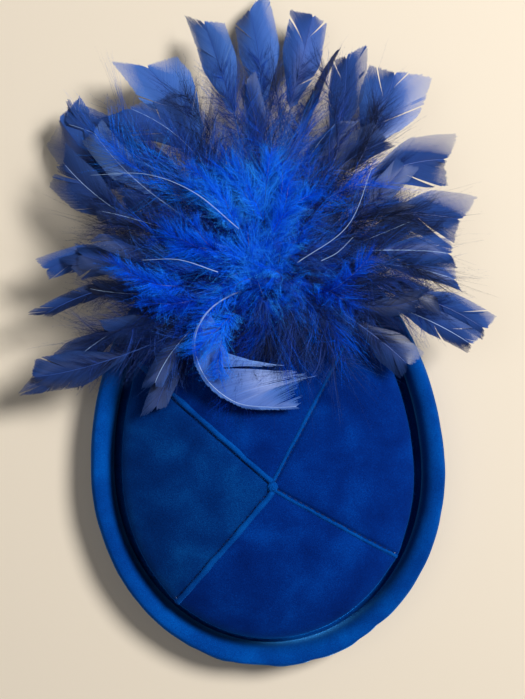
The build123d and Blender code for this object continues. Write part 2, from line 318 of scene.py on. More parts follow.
# The left panel is cut with its nap the other way, and looks greyer.
LEFT_VELVET = velvet("left_panel_velvet", "#00184c", "#002a6c", "#044a94", "#2088f0", 0.5)
# Painted sheen: the brim is the crown's velvet painted brighter, for the glow its rolled edges catch.
BRIM_VELVET_PAINTED_SHEEN = velvet("brim_silk_velvet_painted_sheen", "#00266c", "#003c8c", "#0058b4", "#3898f0")
# Painted sheen: the seams' velvet is the crown's velvet painted lighter, for the glow of the pile on the
# raised folds.
SEAM_VELVET_PAINTED_SHEEN = velvet("folded_seam_velvet_painted_sheen", "#002a6c", "#004090", "#085cb0", "#2480f0", 0.6)
# Painted shade: the side band is the same velvet painted darker, for the shadow of the brim it stands in.
SIDE_VELVET_PAINTED_SHADE = velvet("side_band_velvet_painted_shade", "#000c30", "#001440", "#002258", "#0050b0")
print("velvets made")


# %% [markdown]
# ### Dyed feather
#
# Feather is keratin, like fingernail: IOR about 1.55, a soft satin gloss on the flat vane and none
# to speak of on down. The dye takes unevenly: the down nearest the skin goes electric blue and the
# long barbs go darker in drying. The closed vane at the tip is paler cornflower, partly paler dye
# and partly painted light: the glow of light shining through the thin vane is painted into its
# colour. Each barb carries its own numbers in a colour attribute: how far along the barb (red), its
# own shade (green) and how far along the feather it grows (blue).

# %% Feather materials
def feather_material(name, base, tip, far_pale, rough, sheen, gloss):
    """base and tip are ramps over the barb's shade; far_pale is the colour far from the root. The paler tip
    and far colours are partly undyed keratin and partly painted light through the thin barbs.
    """
    material, tree, shader = new_material(name, {
        "Base Color": linear(base[1][1]), "Roughness": rough, "IOR": 1.55, "Specular IOR Level": gloss,
        "Sheen Weight": 0.2, "Sheen Roughness": 0.4, "Sheen Tint": linear(sheen)})
    own = add_node(tree, "ShaderNodeAttribute", {"attribute_name": "barb"})
    split = add_node(tree, "ShaderNodeSeparateColor", links={"Color": own.outputs["Color"]})
    along_barb, shade, along_feather = (split.outputs[key] for key in ("Red", "Green", "Blue"))
    dyed = mix(tree, "RGBA", along_barb, {"A": ramp(tree, shade, base).outputs["Color"],
                                          "B": ramp(tree, shade, tip).outputs["Color"]})
    far = add_node(tree, "ShaderNodeMapRange", links={"Value": along_feather},
                   values={"From Min": 0.35, "From Max": 0.9, "To Max": 0.62})
    # A dark feather keeps its dark colour to the tip, with little of the pale far colour.
    holds = add_node(tree, "ShaderNodeMapRange", links={"Value": shade},
                     values={"From Max": 0.6, "To Min": 0.15, "To Max": 1.0})
    share = add_node(tree, "ShaderNodeMath", {"operation": "MULTIPLY"},
                     links={0: far.outputs["Result"], 1: holds.outputs["Result"]})
    pale_far_tint = mix(tree, "RGBA", share.outputs["Value"], {"A": dyed}, {"B": linear(far_pale)})
    tree.links.new(pale_far_tint, shader.inputs["Base Color"])
    return material


DOWN = feather_material(
    "dyed_down",
    ((0.0, "#010620"), (0.3, "#031346"), (0.6, "#0830a0"), (0.8, "#0848dc"), (1.0, "#0c60ff")),
    ((0.0, "#050d28"), (0.3, "#16306c"), (0.6, "#2452ac"), (0.8, "#2c74e0"), (1.0, "#509cff")),
    "#1e3366", 0.8, "#2a60d0", 0.2,
)
CORE_DOWN = feather_material(
    "dyed_core_down",
    ((0.0, "#000430"), (0.35, "#001a90"), (0.65, "#0050ff"), (1.0, "#0078ff")),
    ((0.0, "#000a48"), (0.35, "#0034c0"), (0.65, "#0070ff"), (1.0, "#34a4ff")),
    "#0054e0", 0.8, "#0078ff", 0.05,
)
VANE = feather_material(
    "dyed_satin_vane",
    ((0.0, "#060d26"), (0.5, "#123c90"), (0.8, "#3068c8"), (1.0, "#6c9ce8")),
    ((0.0, "#0c1634"), (0.5, "#26529e"), (0.8, "#5488dc"), (1.0, "#98bcf4")),
    "#2c4c90", 0.45, "#3a70d0", 0.35,
)
QUILL = feather_material(
    "dyed_quill",
    ((0.0, "#0c2468"), (0.6, "#2c58b0"), (1.0, "#a8c8f4")),
    ((0.0, "#0c2468"), (0.6, "#2c58b0"), (1.0, "#a8c8f4")),
    "#8090b8", 0.35, "#a0b8f0", 0.5,
)
print("feather finishes made")


# %% [markdown]
# ## The feathers
#
# A feather is a tapering quill with hundreds of barbs. Near the root the barbs are down: long,
# soft, each with its own fringe of tiny barbules. Towards the tip they zip together into a flat
# satin vane. A surface with a texture would look like paper, so every barb here is a real narrow
# ribbon and every barbule a thin triangle. Arrays build thousands of them at once.

# %% Tufts of ribbons and slivers
DOWN_KIND, VANE_KIND, QUILL_KIND, CORE_KIND = 0, 1, 2, 3


class Tuft:
    """Collects triangles in millimetres with their marks, then makes one mesh of them."""

    def __init__(self):
        self.points, self.faces, self.marks, self.kinds = [], [], [], []
        self.count = 0

    def add(self, points, faces, marks, kind):
        self.points.append(points)
        self.faces.append(faces + self.count)
        self.marks.append(marks)
        self.kinds.append(np.full(len(faces), kind))
        self.count += len(points)

    def piece(self, name, materials, slot, node=None):
        points = np.concatenate(self.points)
        faces = np.concatenate(self.faces)
        mesh = bpy.data.meshes.new(name)
        mesh.vertices.add(len(points))
        mesh.vertices.foreach_set("co", (points * MM).astype(np.float32).ravel())
        mesh.loops.add(faces.size)
        mesh.loops.foreach_set("vertex_index", faces.astype(np.int32).ravel())
        mesh.polygons.add(len(faces))
        mesh.polygons.foreach_set("loop_start", np.arange(0, faces.size, 3, dtype=np.int32))
        for material in materials:
            mesh.materials.append(material)
        mesh.polygons.foreach_set("material_index", np.concatenate(self.kinds).astype(np.int32))
        mesh.polygons.foreach_set("use_smooth", np.ones(len(faces), bool))
        mesh.update(calc_edges=True)
        barb = mesh.color_attributes.new("barb", "FLOAT_COLOR", "POINT")
        values = np.ones((len(points), 4), np.float32)
        values[:, :3] = np.clip(np.concatenate(self.marks), 0, 1)
        barb.data.foreach_set("color", values.ravel())
        piece = bpy.data.objects.new(name, mesh)
        bpy.context.collection.objects.link(piece)
        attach(piece, "hat")
        if node:
            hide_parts(node)
        return len(faces)


def unit(vectors):
    return vectors / np.maximum(np.linalg.norm(vectors, axis=-1, keepdims=True), 1e-9)


def column(values):
    return np.asarray(values, float)[:, None]


print("surfaces: down", DOWN_KIND, "vane", VANE_KIND, "quill", QUILL_KIND, "bright down", CORE_KIND)


# %% Barbs and barbules
def barb_lines(root, heading, length, bend, sway, samples):
    """Centre lines of many barbs, shaped (barbs, samples, 3); sway is a sideways wave."""
    u = np.linspace(0, 1, samples)[None, :, None]
    size, turns, phase, axis = sway
    wave = np.sin(math.tau * turns[:, None, None] * u + phase[:, None, None]) * u
    return root[:, None] + length[:, None, None] * (
        u * heading[:, None] + u**2 * bend[:, None] + size[:, None, None] * wave * axis[:, None]
    )


def add_ribbons(tuft, lines, across, width, shade, station, kind, taper=0.85):
    """Flat ribbons along centre lines, narrowing to the tip."""
    barbs, samples, _ = lines.shape
    u = np.linspace(0, 1, samples)
    half = (1 - taper * u**1.5)[None, :, None] * width[:, None, None] / 2
    sides = np.stack([lines - across[:, None] * half, lines + across[:, None] * half], axis=2)
    marks = np.empty((barbs, samples, 2, 3))
    marks[..., 0] = u[None, :, None]
    marks[..., 1] = shade[:, None, None]
    marks[..., 2] = station[:, None, None]
    first = (np.arange(barbs) * samples * 2)[:, None] + (np.arange(samples - 1) * 2)[None, :]
    first = first.reshape(-1, 1)
    faces = np.concatenate([first + np.array([[0, 1, 3]]), first + np.array([[0, 3, 2]])])
    tuft.add(sides.reshape(-1, 3), faces, marks.reshape(-1, 3), kind)


BARBULE_BASE = 0.10


def add_barbules(tuft, lines, reach, rng, shade, station, each, kind):
    """A fringe of slivers round every barb, each leaning towards the barb's tip."""
    barbs, samples, _ = lines.shape
    u = rng.uniform(0.05, 0.98, (barbs, each))
    spot = u * (samples - 1)
    low = np.minimum(spot.astype(int), samples - 2)
    row = np.arange(barbs)[:, None]
    a, b = lines[row, low], lines[row, low + 1]
    foot = a + (b - a) * (spot - low)[..., None]
    along = unit(b - a)
    side = unit(np.cross(along, unit(rng.normal(size=(barbs, each, 3)))))
    out = unit(side + along * rng.uniform(0.5, 1.4, (barbs, each))[..., None])
    size = reach[:, None] * rng.uniform(0.5, 1.0, (barbs, each)) * (1 - 0.5 * u)
    tip = foot + out * size[..., None]
    half = along * BARBULE_BASE / 2
    points = np.stack([foot - half, foot + half, tip], axis=2).reshape(-1, 3)
    marks = np.empty((barbs, each, 3, 3))
    marks[..., 0] = np.clip(u[..., None] * 0.7 + np.array([0, 0, 0.3]), 0, 1)
    marks[..., 1] = shade[:, None, None]
    marks[..., 2] = station[:, None, None]
    faces = np.arange(barbs * each)[:, None] * 3 + np.array([[0, 1, 2]])
    tuft.add(points, faces, marks.reshape(-1, 3), kind)


print("a barb is a ribbon, a barbule is one triangle")


# %% Quill
def add_quill(tuft, spine, thick, thin, shade):
    """Six-sided tapering tube along the spine, closed at both ends."""
    count = len(spine)
    along = unit(np.gradient(spine, axis=0))
    side = unit(np.cross(along, (0, 0, 1.0)))
    up = np.cross(side, along)
    turn = np.arange(6) * math.tau / 6
    radius = np.linspace(thick, thin, count)[:, None, None]
    ring = np.cos(turn)[None, :, None] * side[:, None] + np.sin(turn)[None, :, None] * up[:, None]
    points = np.concatenate([(spine[:, None] + radius * ring).reshape(-1, 3), spine[:1], spine[-1:]])
    faces = []
    for a, b, c, d in grid_faces(count, 6, close_columns=True):
        faces += [(a, b, c), (a, c, d)]
    last = (count - 1) * 6
    for i in range(6):
        right = (i + 1) % 6
        faces += [(count * 6, right, i), (count * 6 + 1, last + i, last + right)]
    tuft.add(points, np.array(faces), np.tile([0.5, shade, 0.3], (len(points), 1)), QUILL_KIND)


print("a quill is a closed tube with six sides")


# %% Spine of a feather
def smooth_step(value, low, high):
    t = np.clip((value - low) / (high - low), 0, 1)
    return t * t * (3 - 2 * t)


class Spine:
    """A feather's centre line with its own sideways and upward directions, turned by a roll."""

    def __init__(self, points, roll=0.0):
        steps = np.linalg.norm(np.diff(points, axis=0), axis=1)
        self.points = points
        self.far = np.concatenate([[0], np.cumsum(steps)])
        self.total = self.far[-1]
        self.along = unit(np.gradient(points, axis=0))
        flat = unit(np.cross(self.along, (0, 0, 1.0)))
        upward = np.cross(flat, self.along)
        turn = column(np.radians(roll) * smooth_step(self.far / self.total, 0.35, 1.0))
        self.side = flat * np.cos(turn) + upward * np.sin(turn)

    def at(self, s):
        def read(table):
            return np.stack([np.interp(s, self.far, table[:, k]) for k in range(3)], axis=1)

        along, side = unit(read(self.along)), unit(read(self.side))
        return read(self.points), along, side, np.cross(side, along)


def locks(rng, count, share):
    """Which lock each barb hangs in, and a normal random value for each lock."""
    lock = np.cumsum(rng.random(count) < share)
    return rng.normal(0, 1, (lock.max() + 1, 3))[lock]


print("half way through a smooth step:", float(smooth_step(0.5, 0, 1)))


# %% Down
DOWN_ANGLE, DOWN_CLOSING = 50, 16  # degrees from the quill at the root, and how many less at the end
DOWN_WIDTH = 0.15
NEW_LOCK = 0.16  # share of the barbs that start a new lock
RISE_LIMIT = 0.5  # no lock stands up more steeply than this slope


def add_down(tuft, spine, rng, last, length, shade, step, barbules, lean=0.0, kind=DOWN_KIND, wild=1.0):
    """Down on both sides of the quill, hanging in soft locks, up to a share of the length; wild
    is how far the locks stray and curl."""
    total = spine.total
    for hand in (-1.0, 1.0):
        s = np.arange(total * 0.05, total * last, step)
        s = s + rng.uniform(-step, step, len(s))
        count = len(s)
        place, along, side, up = spine.at(s)
        share = s / total
        lock = locks(rng, count, NEW_LOCK)
        stray = 10 * wild * lock[:, 0] + rng.normal(0, 8, count)
        angle = np.radians(DOWN_ANGLE - DOWN_CLOSING * share + stray)
        heading = column(np.cos(angle)) * along + column(np.sin(angle) * hand) * side
        rise = 0.16 + lean + 0.26 * wild * lock[:, 1] + rng.normal(0, 0.12, count)
        heading = unit(heading + up * column(np.clip(rise, -RISE_LIMIT, RISE_LIMIT)))
        fade = 1 - 0.35 * smooth_step(share, last - 0.25, last)
        size = length * rng.uniform(0.7, 1.12, count) * fade * (0.6 + 0.4 * smooth_step(share, 0, 0.3))
        bend = along * column(0.18 + 0.26 * wild * lock[:, 2]) + up * column(rng.normal(-0.16, 0.14, count))
        bend = bend + side * column(0.12 * wild * lock[:, 1])
        sway = (rng.uniform(0.02, 0.08 * wild, count), rng.uniform(0.5, 1.7, count),
                rng.uniform(0, math.tau, count), unit(rng.normal(size=(count, 3))))
        lines = barb_lines(place, heading, size, bend, sway, 7)
        across = unit(np.cross(heading, unit(rng.normal(size=(count, 3)))))
        own = np.clip(shade + 0.15 * lock[:, 0] + rng.normal(0, 0.09, count), 0, 1)
        add_ribbons(tuft, lines, across, np.full(count, DOWN_WIDTH), own, share, kind)
        add_barbules(tuft, lines, rng.uniform(1.3, 2.6, count), rng, own, share, barbules, kind)


print("down barbs", DOWN_WIDTH, "mm wide")


# %% Vane
BARB_PITCH = 0.34
BARB_WIDTH = 0.6  # wider than the pitch, so neighbours overlap and close the vane
SHORTEST_BARB = 0.55  # share of the vane's half width
VANE_RISE, VANE_FORWARD = 0.08, 0.14  # slope of a barb at the quill, and its sweep to the tip


def add_vane(tuft, spine, rng, first, width, balance, cut, shade, fan=(46, 22), narrow=0.0, ragged=0.04):
    """The closed satin vane. balance is the right side's share, cut the slope of the end, fan
    the barbs' angle at the first and last barb, narrow what the width loses by the end, and
    ragged how far the barbs split into locks of uneven length."""
    total = spine.total
    s = np.arange(total * first, total - 0.3, BARB_PITCH)
    grown = (s / total - first) / (1 - first)
    cup = rng.uniform(0.1, 0.42)  # how far the two sides curl down
    for hand, own_share in ((-1.0, 1 - balance), (1.0, balance)):
        place, along, side, up = spine.at(s)
        share = s / total
        lock = locks(rng, len(s), 0.03 + 0.08 * ragged)
        angle = np.radians(fan[0] + (fan[1] - fan[0]) * smooth_step(grown, 0.25, 1.0))
        angle = angle + np.radians((1.6 + 5 * ragged) * lock[:, 0])
        body = width * own_share * (0.3 + 0.7 * smooth_step(grown, 0, 0.35)) * (1 - narrow * grown)
        to_cut = np.maximum(np.cos(angle) - hand * np.sin(angle) * cut, 0.12)
        to_end = (total + 1.5 + rng.uniform(-0.4, 0.5, len(s)) - s) / to_cut
        uneven = 1 - ragged * (0.5 * np.abs(lock[:, 1]) + rng.random(len(s)) ** 2)
        size = np.minimum(body / np.sin(angle), to_end) * np.maximum(uneven, SHORTEST_BARB)
        heading = column(np.cos(angle)) * along + column(np.sin(angle) * hand) * side
        heading = unit(heading + up * column(VANE_RISE + 0.04 * lock[:, 1]))
        bend = along * VANE_FORWARD - up * column(cup + 0.03 * lock[:, 2])
        none = np.zeros(len(s))
        lines = barb_lines(place, heading, size, bend, (none, none, none, up), 6)
        own = np.clip(shade + 0.04 * lock[:, 0] + rng.normal(0, 0.035, len(s)), 0, 1)
        wide = np.full(len(s), BARB_WIDTH)
        add_ribbons(tuft, lines, along, wide, own, share, VANE_KIND, 0.4 + 0.5 * ragged)


FEATHER_MATERIALS = (DOWN, VANE, QUILL, CORE_DOWN)
print("vane barbs", BARB_WIDTH, "mm wide, one every", BARB_PITCH, "mm")


# %% [markdown]
# ### The long feathers
#
# Twenty-seven long feathers leave the binding in three layers. Each follows the same arch as its
# CAD blade: it rises a little, then sinks with the square of its reach, further at the free end
# of the hat than over the crown. No two are alike, so a list gives for every feather: direction in
# degrees, reach, vane width, sideways sickle, tip lift, roll in degrees, balance of the two
# sides, slope of the cut end, shade of the down and shade of the vane.

# %% Arch and list of the long feathers
QUILL_START = BINDING_RADIUS + 0.3
RISE, DROP, DROP_FRONT = 0.12, 20.0, 9.0
LOW_Z, TIER_STEP = 36.5, 2.7

LOW = (
    (88, 123, 19, 5, 6, 10, 0.5, 0.7, 0.6, 0.72), (110, 108, 28, 14, 6, -30, 0.5, -0.4, 0.6, 0.74),
    (144, 117, 30, -14, 3, 25, 0.45, 0.0, 0.3, 0.58), (168, 95, 12, 14, 6, 30, 0.5, 0.2, 0.2, 0.5),
    (196, 108, 22, 20, 2, 35, 0.35, 0.9, 0.15, 0.10), (222, 74, 10, 8, 2, 0, 0.5, 0.8, 0.35, 0.12),
    (-16, 94, 12, -12, 3, -30, 0.5, 0.0, 0.35, 0.42), (4, 82, 10, -16, 5, 20, 0.4, 0.6, 0.35, 0.45),
    (24, 88, 28, -22, 1, -30, 0.62, -0.3, 0.4, 0.40), (50, 108, 30, 10, 6, 15, 0.5, 0.1, 0.3, 0.55),
)
MIDDLE = (
    (79, 121, 19, -8, 6, -20, 0.5, 0.0, 0.5, 0.50), (97, 118, 17, 8, 8, 25, 0.5, -0.9, 0.6, 0.8),
    (133, 112, 22, 14, 3, 30, 0.4, 0.3, 0.3, 0.34), (154, 101, 22, -16, 5, 25, 0.45, 0.2, 0.15, 0.26),
    (181, 98, 8, 12, 5, 45, 0.5, 0.9, 0.15, 0.06), (207, 110, 17, -18, 2, 20, 0.5, -0.6, 0.25, 0.18),
    (-11, 98, 14, -13, 2, -35, 0.5, 0.1, 0.35, 0.48), (11, 80, 13, -14, 5, 0, 0.5, 0.3, 0.45, 0.38),
    (40, 94, 27, -22, 1, -40, 0.6, -0.2, 0.4, 0.34), (60, 104, 17, 15, 5, 30, 0.5, 0.3, 0.4, 0.30),
)
TOP = (
    (88, 84, 10, 8, 7, 30, 0.5, 0.5, 0.9, 0.3), (116, 94, 30, 20, 5, -20, 0.6, -0.7, 0.7, 0.46),
    (140, 98, 14, -8, 5, 10, 0.5, 0.1, 0.4, 0.88), (213, 66, 9, 12, 2, 0, 0.5, 0.5, 0.6, 0.10),
    (-30, 72, 16, -9, 1, -10, 0.5, 0.0, 0.3, 0.14), (28, 76, 11, 12, 5, 0, 0.5, 0.3, 0.7, 0.26),
    (73, 102, 7, -8, 8, 65, 0.5, 0.6, 0.55, 0.08),
)


def around_burst(a, r, off, z, root=(0.0, 0.0)):
    """Points at distances r from the burst in direction a, moved sideways by off."""
    return np.stack([BURST[0] + root[0] + r * math.cos(a) - off * math.sin(a),
                     BURST[1] + root[1] + r * math.sin(a) + off * math.cos(a), z], axis=1)


SPINE_POINTS = 44


def arch_spine(direction, reach, start_z, sickle, tip_lift, sway):
    """Spine points of a feather that leaves the binding in a direction; sway is an S-bend."""
    r = np.linspace(QUILL_START, reach, SPINE_POINTS)
    part = r / reach
    a = math.radians(direction)
    drop = DROP + DROP_FRONT * math.sin(a)
    z = start_z + RISE * r - drop * (r / 100) ** 2 + tip_lift * part**3
    off = sickle * (1.05 * part**3.4 - 0.3 * part) + sway * np.sin(math.tau * part)
    return around_burst(a, r, off, z)


VANE_FROM = 0.60  # share of the length where the vane starts
DOWN_OVERLAP = 0.18  # the down goes on this far under the vane
LONG_DOWN, LONG_STEP, LONG_BARBULES = 19, 0.40, 20
LONG_QUILL = (0.42, 0.10)  # radius at the root and at the tip
faces_made = 0
for tier, (word, feathers) in enumerate((("low", LOW), ("middle", MIDDLE), ("top", TOP))):
    for number, spec in enumerate(feathers, 1):
        direction, reach, width, sickle, lift, roll, balance, cut, shade, vane_shade = spec
        rng = np.random.default_rng(100 * (tier + 1) + number)
        sway = rng.uniform(-1.6, 1.6)
        spine = Spine(arch_spine(direction, reach, LOW_Z + tier * TIER_STEP, sickle, lift, sway), roll)
        tuft = Tuft()
        add_quill(tuft, spine.points, *LONG_QUILL, rng.choice([0.2, 0.3, 0.4, 0.9]))
        add_down(tuft, spine, rng, VANE_FROM + DOWN_OVERLAP, LONG_DOWN, shade, LONG_STEP, LONG_BARBULES)
        add_vane(tuft, spine, rng, VANE_FROM, width, balance, cut, vane_shade)
        name = f"{word}_feather_{number:02d}"
        faces_made += tuft.piece("plume_" + name, FEATHER_MATERIALS, "feather", name)
print("long feathers", len(LOW) + len(MIDDLE) + len(TOP), "with", faces_made, "triangles")


# %% [markdown]
# ### The curled feather
#
# One feather turns back over the crown in a C. Its quill runs near the outer side of the curve,
# so the barbs on the inside are long and split into locks, and it ends in a wide, square tip.

# %% Curled feather
def smooth_path(points, count):
    """Catmull-Rom curve through a few points."""
    p = np.asarray(points, float)
    p = np.concatenate([[2 * p[0] - p[1]], p, [2 * p[-1] - p[-2]]])
    out = []
    for t in np.linspace(0, len(p) - 3 - 1e-6, count):
        i = int(t)
        u = t - i
        a, b, c, d = p[i : i + 4]
        out.append(0.5 * (2 * b + (c - a) * u + (2 * a - 5 * b + 4 * c - d) * u**2
                          + (3 * b - a - 3 * c + d) * u**3))
    return np.array(out)


curled_z = box_mm("curled_feather")[0][2]
CURL = ((-2.5, -4.8, 0), (-15.5, -8, 3), (-26.5, -15.5, 5), (-32, -28, 5), (-28, -43, 4), (-16, -54, 2),
        (-1.5, -57, 1), (10, -57.5, 0))
curl_points = smooth_path([np.array(p) + (BURST[0], BURST[1], curled_z) for p in CURL], 60)
rng = np.random.default_rng(41)
spine = Spine(curl_points, 10)
tuft = Tuft()
add_quill(tuft, curl_points, 0.4, 0.1, 0.8)
add_down(tuft, spine, rng, 0.42, 13, 0.6, 0.4, 18, kind=CORE_KIND)
add_vane(tuft, spine, rng, 0.26, 42, 0.05, 0.1, 0.70, fan=(74, 26), narrow=0.42,
         ragged=0.28)
tuft.piece("plume_curled_feather", FEATHER_MATERIALS, "feather", "curled_feather")
print("curled feather", round(spine.total), "mm along the quill")


# %% [markdown]
# ### Marabou filling and the bright centre
#
# Between the long feathers the maker ties short marabou plumes, all down and no vane. They fill
# the burst so that no stem shows. In the middle the shortest tufts stand up and curl outwards in
# a bright, dense rosette.

# %% Filling plumes
CROWN_SHORT = 0.52  # plumes over the crown lose this much, so that the velvet shows
GAPS = (30, 128, 347)  # directions in which the outer plumes leave a gap
GAP_HALF, GAP_REACH = 7, 42
# Painted shade: plumes taken to lie under others are painted darker by this much.
UNDER_PLUME_PAINTED_SHADE = 0.42  # how much darker the plumes are that lie under others
BRIGHT_FANS = ((112, 34, 1.0), (66, 12, 0.7), (190, 11, 0.8), (229, 12, 0.8), (334, 10, 0.5))


def brightness(direction):
    """How bright the tufts are in a direction: a few fans of electric blue with dark between."""
    best = 0.0
    for centre, half, strength in BRIGHT_FANS:
        away = (direction - centre + 180) % 360 - 180
        best = max(best, strength * math.exp(-((away / half) ** 2)))
    return best


def short_spine(rng, direction, far, rise, start_z, curl, spread):
    """Spine of a short plume: out from the binding, up, over, and curled to one side."""
    a = math.radians(direction)
    far = far * (1 + 0.14 * math.sin(a) if math.sin(a) > 0 else 1 + CROWN_SHORT * math.sin(a))
    part = np.linspace(0, 1, 20)
    r = 0.8 + (far - 0.8) * part
    off = rng.normal(0, curl) * far * part**2 + rng.normal(0, 0.05) * far * np.sin(math.tau * part)
    z = start_z + rise * far * (part - 0.8 * part**2) - 7.0 * (far / 80) ** 2 * part**2
    return around_burst(a, r, off, z, (rng.normal(0, spread), rng.normal(0, spread)))


def filling(name, count, reach, rise, start_z, seed, shade, down, step, barbules, curl=0.2,
            core=0.0, spread=0.6, node=None):
    """A ring of short downy plumes; reach and rise are ranges, shade is for the dark and the
    bright directions, and core the share of plumes dyed brightest."""
    rng = np.random.default_rng(seed)
    tuft = Tuft()
    for number in range(count):
        direction = 360 * (number + rng.uniform(-0.9, 0.9)) / count + seed * 37
        far = rng.uniform(*reach)
        near_gap = min(abs((direction - gap + 180) % 360 - 180) for gap in GAPS) < GAP_HALF
        points = short_spine(rng, direction, min(far, GAP_REACH) if near_gap else far, rng.uniform(*rise),
                             start_z + rng.uniform(-1.5, 1.5), curl, spread)
        glow = brightness(direction)
        own = shade[0] + (shade[1] - shade[0]) * glow + rng.normal(0, 0.1)
        # Painted shade: some plumes, fewest in the bright fans, are painted darker for the shadow of the
        # plumes over them.
        painted_under_shade = rng.random() < 0.3 - 0.24 * glow
        own = float(np.clip(own - (UNDER_PLUME_PAINTED_SHADE if painted_under_shade else 0.0), 0, 1))
        kind = CORE_KIND if rng.random() < core * (0.4 + glow) else DOWN_KIND
        add_quill(tuft, points, 0.2, 0.06, rng.choice([0.1, 0.2, 0.3]))
        add_down(tuft, Spine(points), rng, 0.97, down * rng.uniform(0.7, 1.25), own, step, barbules,
                 0.08, kind, wild=1.8)
    made = tuft.piece(name, FEATHER_MATERIALS, "feather", node)
    print(name, count, "plumes,", made, "triangles")


filling("marabou_fringe", 26, (62, 88), (0.06, 0.16), 38.0, 5, (0.22, 0.4), 20, 0.5, 16, 0.22)
filling("marabou_outer", 34, (56, 82), (0.12, 0.28), 43.0, 1, (0.34, 0.75), 22, 0.42, 18, 0.30, 0.2)
filling("marabou_middle", 34, (32, 56), (0.24, 0.40), 44.0, 2, (0.42, 0.9), 18, 0.38, 16, 0.40, 0.7)
filling("marabou_inner", 34, (16, 38), (0.3, 0.55), 46.0, 3, (0.55, 0.95), 12, 0.32, 18, 0.55, 1.2, 2.0)
filling("centre_rosette", 60, (5, 17), (0.2, 0.8), 48.0, 4, (0.62, 0.95), 6.5, 0.24, 18, 0.9, 2.0, 5.5,
        node="centre_fluff")


# %% [markdown]
# Some tufts took the dye better than the rest and shine among the dark down, most of all on the
# side away from the crown. For each: direction, nearest and farthest reach, shade and number of
# plumes. Over them lie a few quills that have lost their barbs, as thin pale arcs.

# %% Bright tufts among the dark down
SIDE_TUFTS = ((184, 34, 58, 0.62, 2), (204, 30, 50, 0.5, 2), (222, 20, 44, 0.8, 2), (158, 20, 42, 0.6, 3),
              (72, 16, 44, 0.72, 3), (94, 22, 52, 0.92, 4), (120, 22, 54, 0.92, 4), (338, 22, 42, 0.4, 2))
rng = np.random.default_rng(63)
tuft = Tuft()
for direction, near, far, own, plumes in SIDE_TUFTS:
    for plume in range(plumes):
        a = math.radians(direction + rng.uniform(-8, 8))
        part = np.linspace(0, 1, 18)
        r = near + (far * rng.uniform(0.8, 1.1) - near) * part
        off = rng.normal(0, 9) * part**2
        z = 50 + 6 * np.sin(math.pi * 0.8 * part)
        points = around_burst(a, r, off, z)
        add_quill(tuft, points, 0.15, 0.05, 0.2)
        add_down(tuft, Spine(points), rng, 0.97, 9 * rng.uniform(0.8, 1.2), own, 0.26, 16, 0.0,
                 CORE_KIND, wild=1.5)
tuft.piece("bright_side_tufts", FEATHER_MATERIALS, "feather")
print("side tufts", len(SIDE_TUFTS))


# %% Bare quills
QUILL_ARCS = (
    ((-10, 20, 54), (-28, 36, 60), (-48, 45, 59), (-72, 47, 52)),
    ((14, 4, 55), (36, 18, 59), (48, 42, 56)),
    ((24, 4, 57), (31, 7, 59), (38, 13, 59)),
    ((-20, 2, 56), (-36, 8, 59), (-52, 9, 57)),
)
tuft = Tuft()
for arc in QUILL_ARCS:
    points = smooth_path([np.array(p, float) + (BURST[0], BURST[1], 0) for p in arc], 40)
    add_quill(tuft, points, 0.15, 0.06, 0.92)
tuft.piece("bare_quills", FEATHER_MATERIALS, "feather")
print("bare quills", len(QUILL_ARCS))


# %% [markdown]
# A few short flat feathers, dyed almost navy, lie among the down and give it dark edges.

# %% Dark cover feathers
COVERS = ((150, 78), (163, 72), (176, 80), (188, 76), (202, 72), (128, 80), (108, 70), (92, 76), (66, 74),
          (52, 78), (34, 66), (16, 68), (-4, 74), (-20, 66), (138, 70), (170, 84))
rng = np.random.default_rng(77)
tuft = Tuft()
for direction, reach in COVERS:
    points = arch_spine(direction, reach, LOW_Z + 4.0, rng.uniform(-16, 16), rng.uniform(0, 7),
                        rng.uniform(-2, 2))
    spine = Spine(points, rng.uniform(-60, 60))
    add_quill(tuft, points, 0.35, 0.08, rng.choice([0.2, 0.4, 1.0]))
    add_down(tuft, spine, rng, 0.78, 16, rng.uniform(0.1, 0.4), 0.45, 18)
    add_vane(tuft, spine, rng, 0.6, rng.uniform(8, 15), rng.uniform(0.35, 0.65), rng.uniform(-0.8, 0.8),
             rng.uniform(0.02, 0.28))
tuft.piece("dark_cover_feathers", FEATHER_MATERIALS, "feather")
print("cover feathers", len(COVERS))


# %% [markdown]
# ## The crown
#
# Four velvet panels are stretched over the padded dome. Each is cut as a sector from the crossing
# to the edge, swells a little between its seams because of the wadding under it, dips where it
# is sewn, and turns down over the crown's edge. A grid over the sector makes that directly.

# %% Seam directions
SEAM_ANGLES = (58.5, 135.5, 226.5, 327.0)


def reach_to_edge(angle):
    """Distance from the crossing to the crown's outline along a direction."""
    low, high = 0.0, 200.0
    for _ in range(40):  # halve the span until it is far below a micrometre
        middle = (low + high) / 2
        x = CROSSING[0] + middle * math.cos(angle)
        y = CROSSING[1] + middle * math.sin(angle)
        length = FRONT if y >= 0 else REAR
        inside = (x / HALF_WIDTH) ** 2 + (y / length) ** 2 < 1
        low, high = (middle, high) if inside else (low, middle)
    return low


print("seams in mm", [round(reach_to_edge(math.radians(a)), 1) for a in SEAM_ANGLES])


# %% Panels
EDGE_ROUND, EDGE_DROP = 4.5, 1.9  # how far in the edge starts to turn, and how far it sinks
SWELL_HEIGHT, SEAM_SWELL, EDGE_SWELL = 1.2, 4.5, 10  # wadding's swell, and how soon it starts
DIP, DIP_WIDTH, SLOPE_DIP, SLOPE_WIDTH = 0.55, 0.8, 0.2, 3.0  # sewn groove and the slope beside it
PANEL_THICK = 0.9
PANEL_COLUMNS, PANEL_ROWS = 72, 60
FOLD_DOWN = (0.5, 1.1, 1.8)


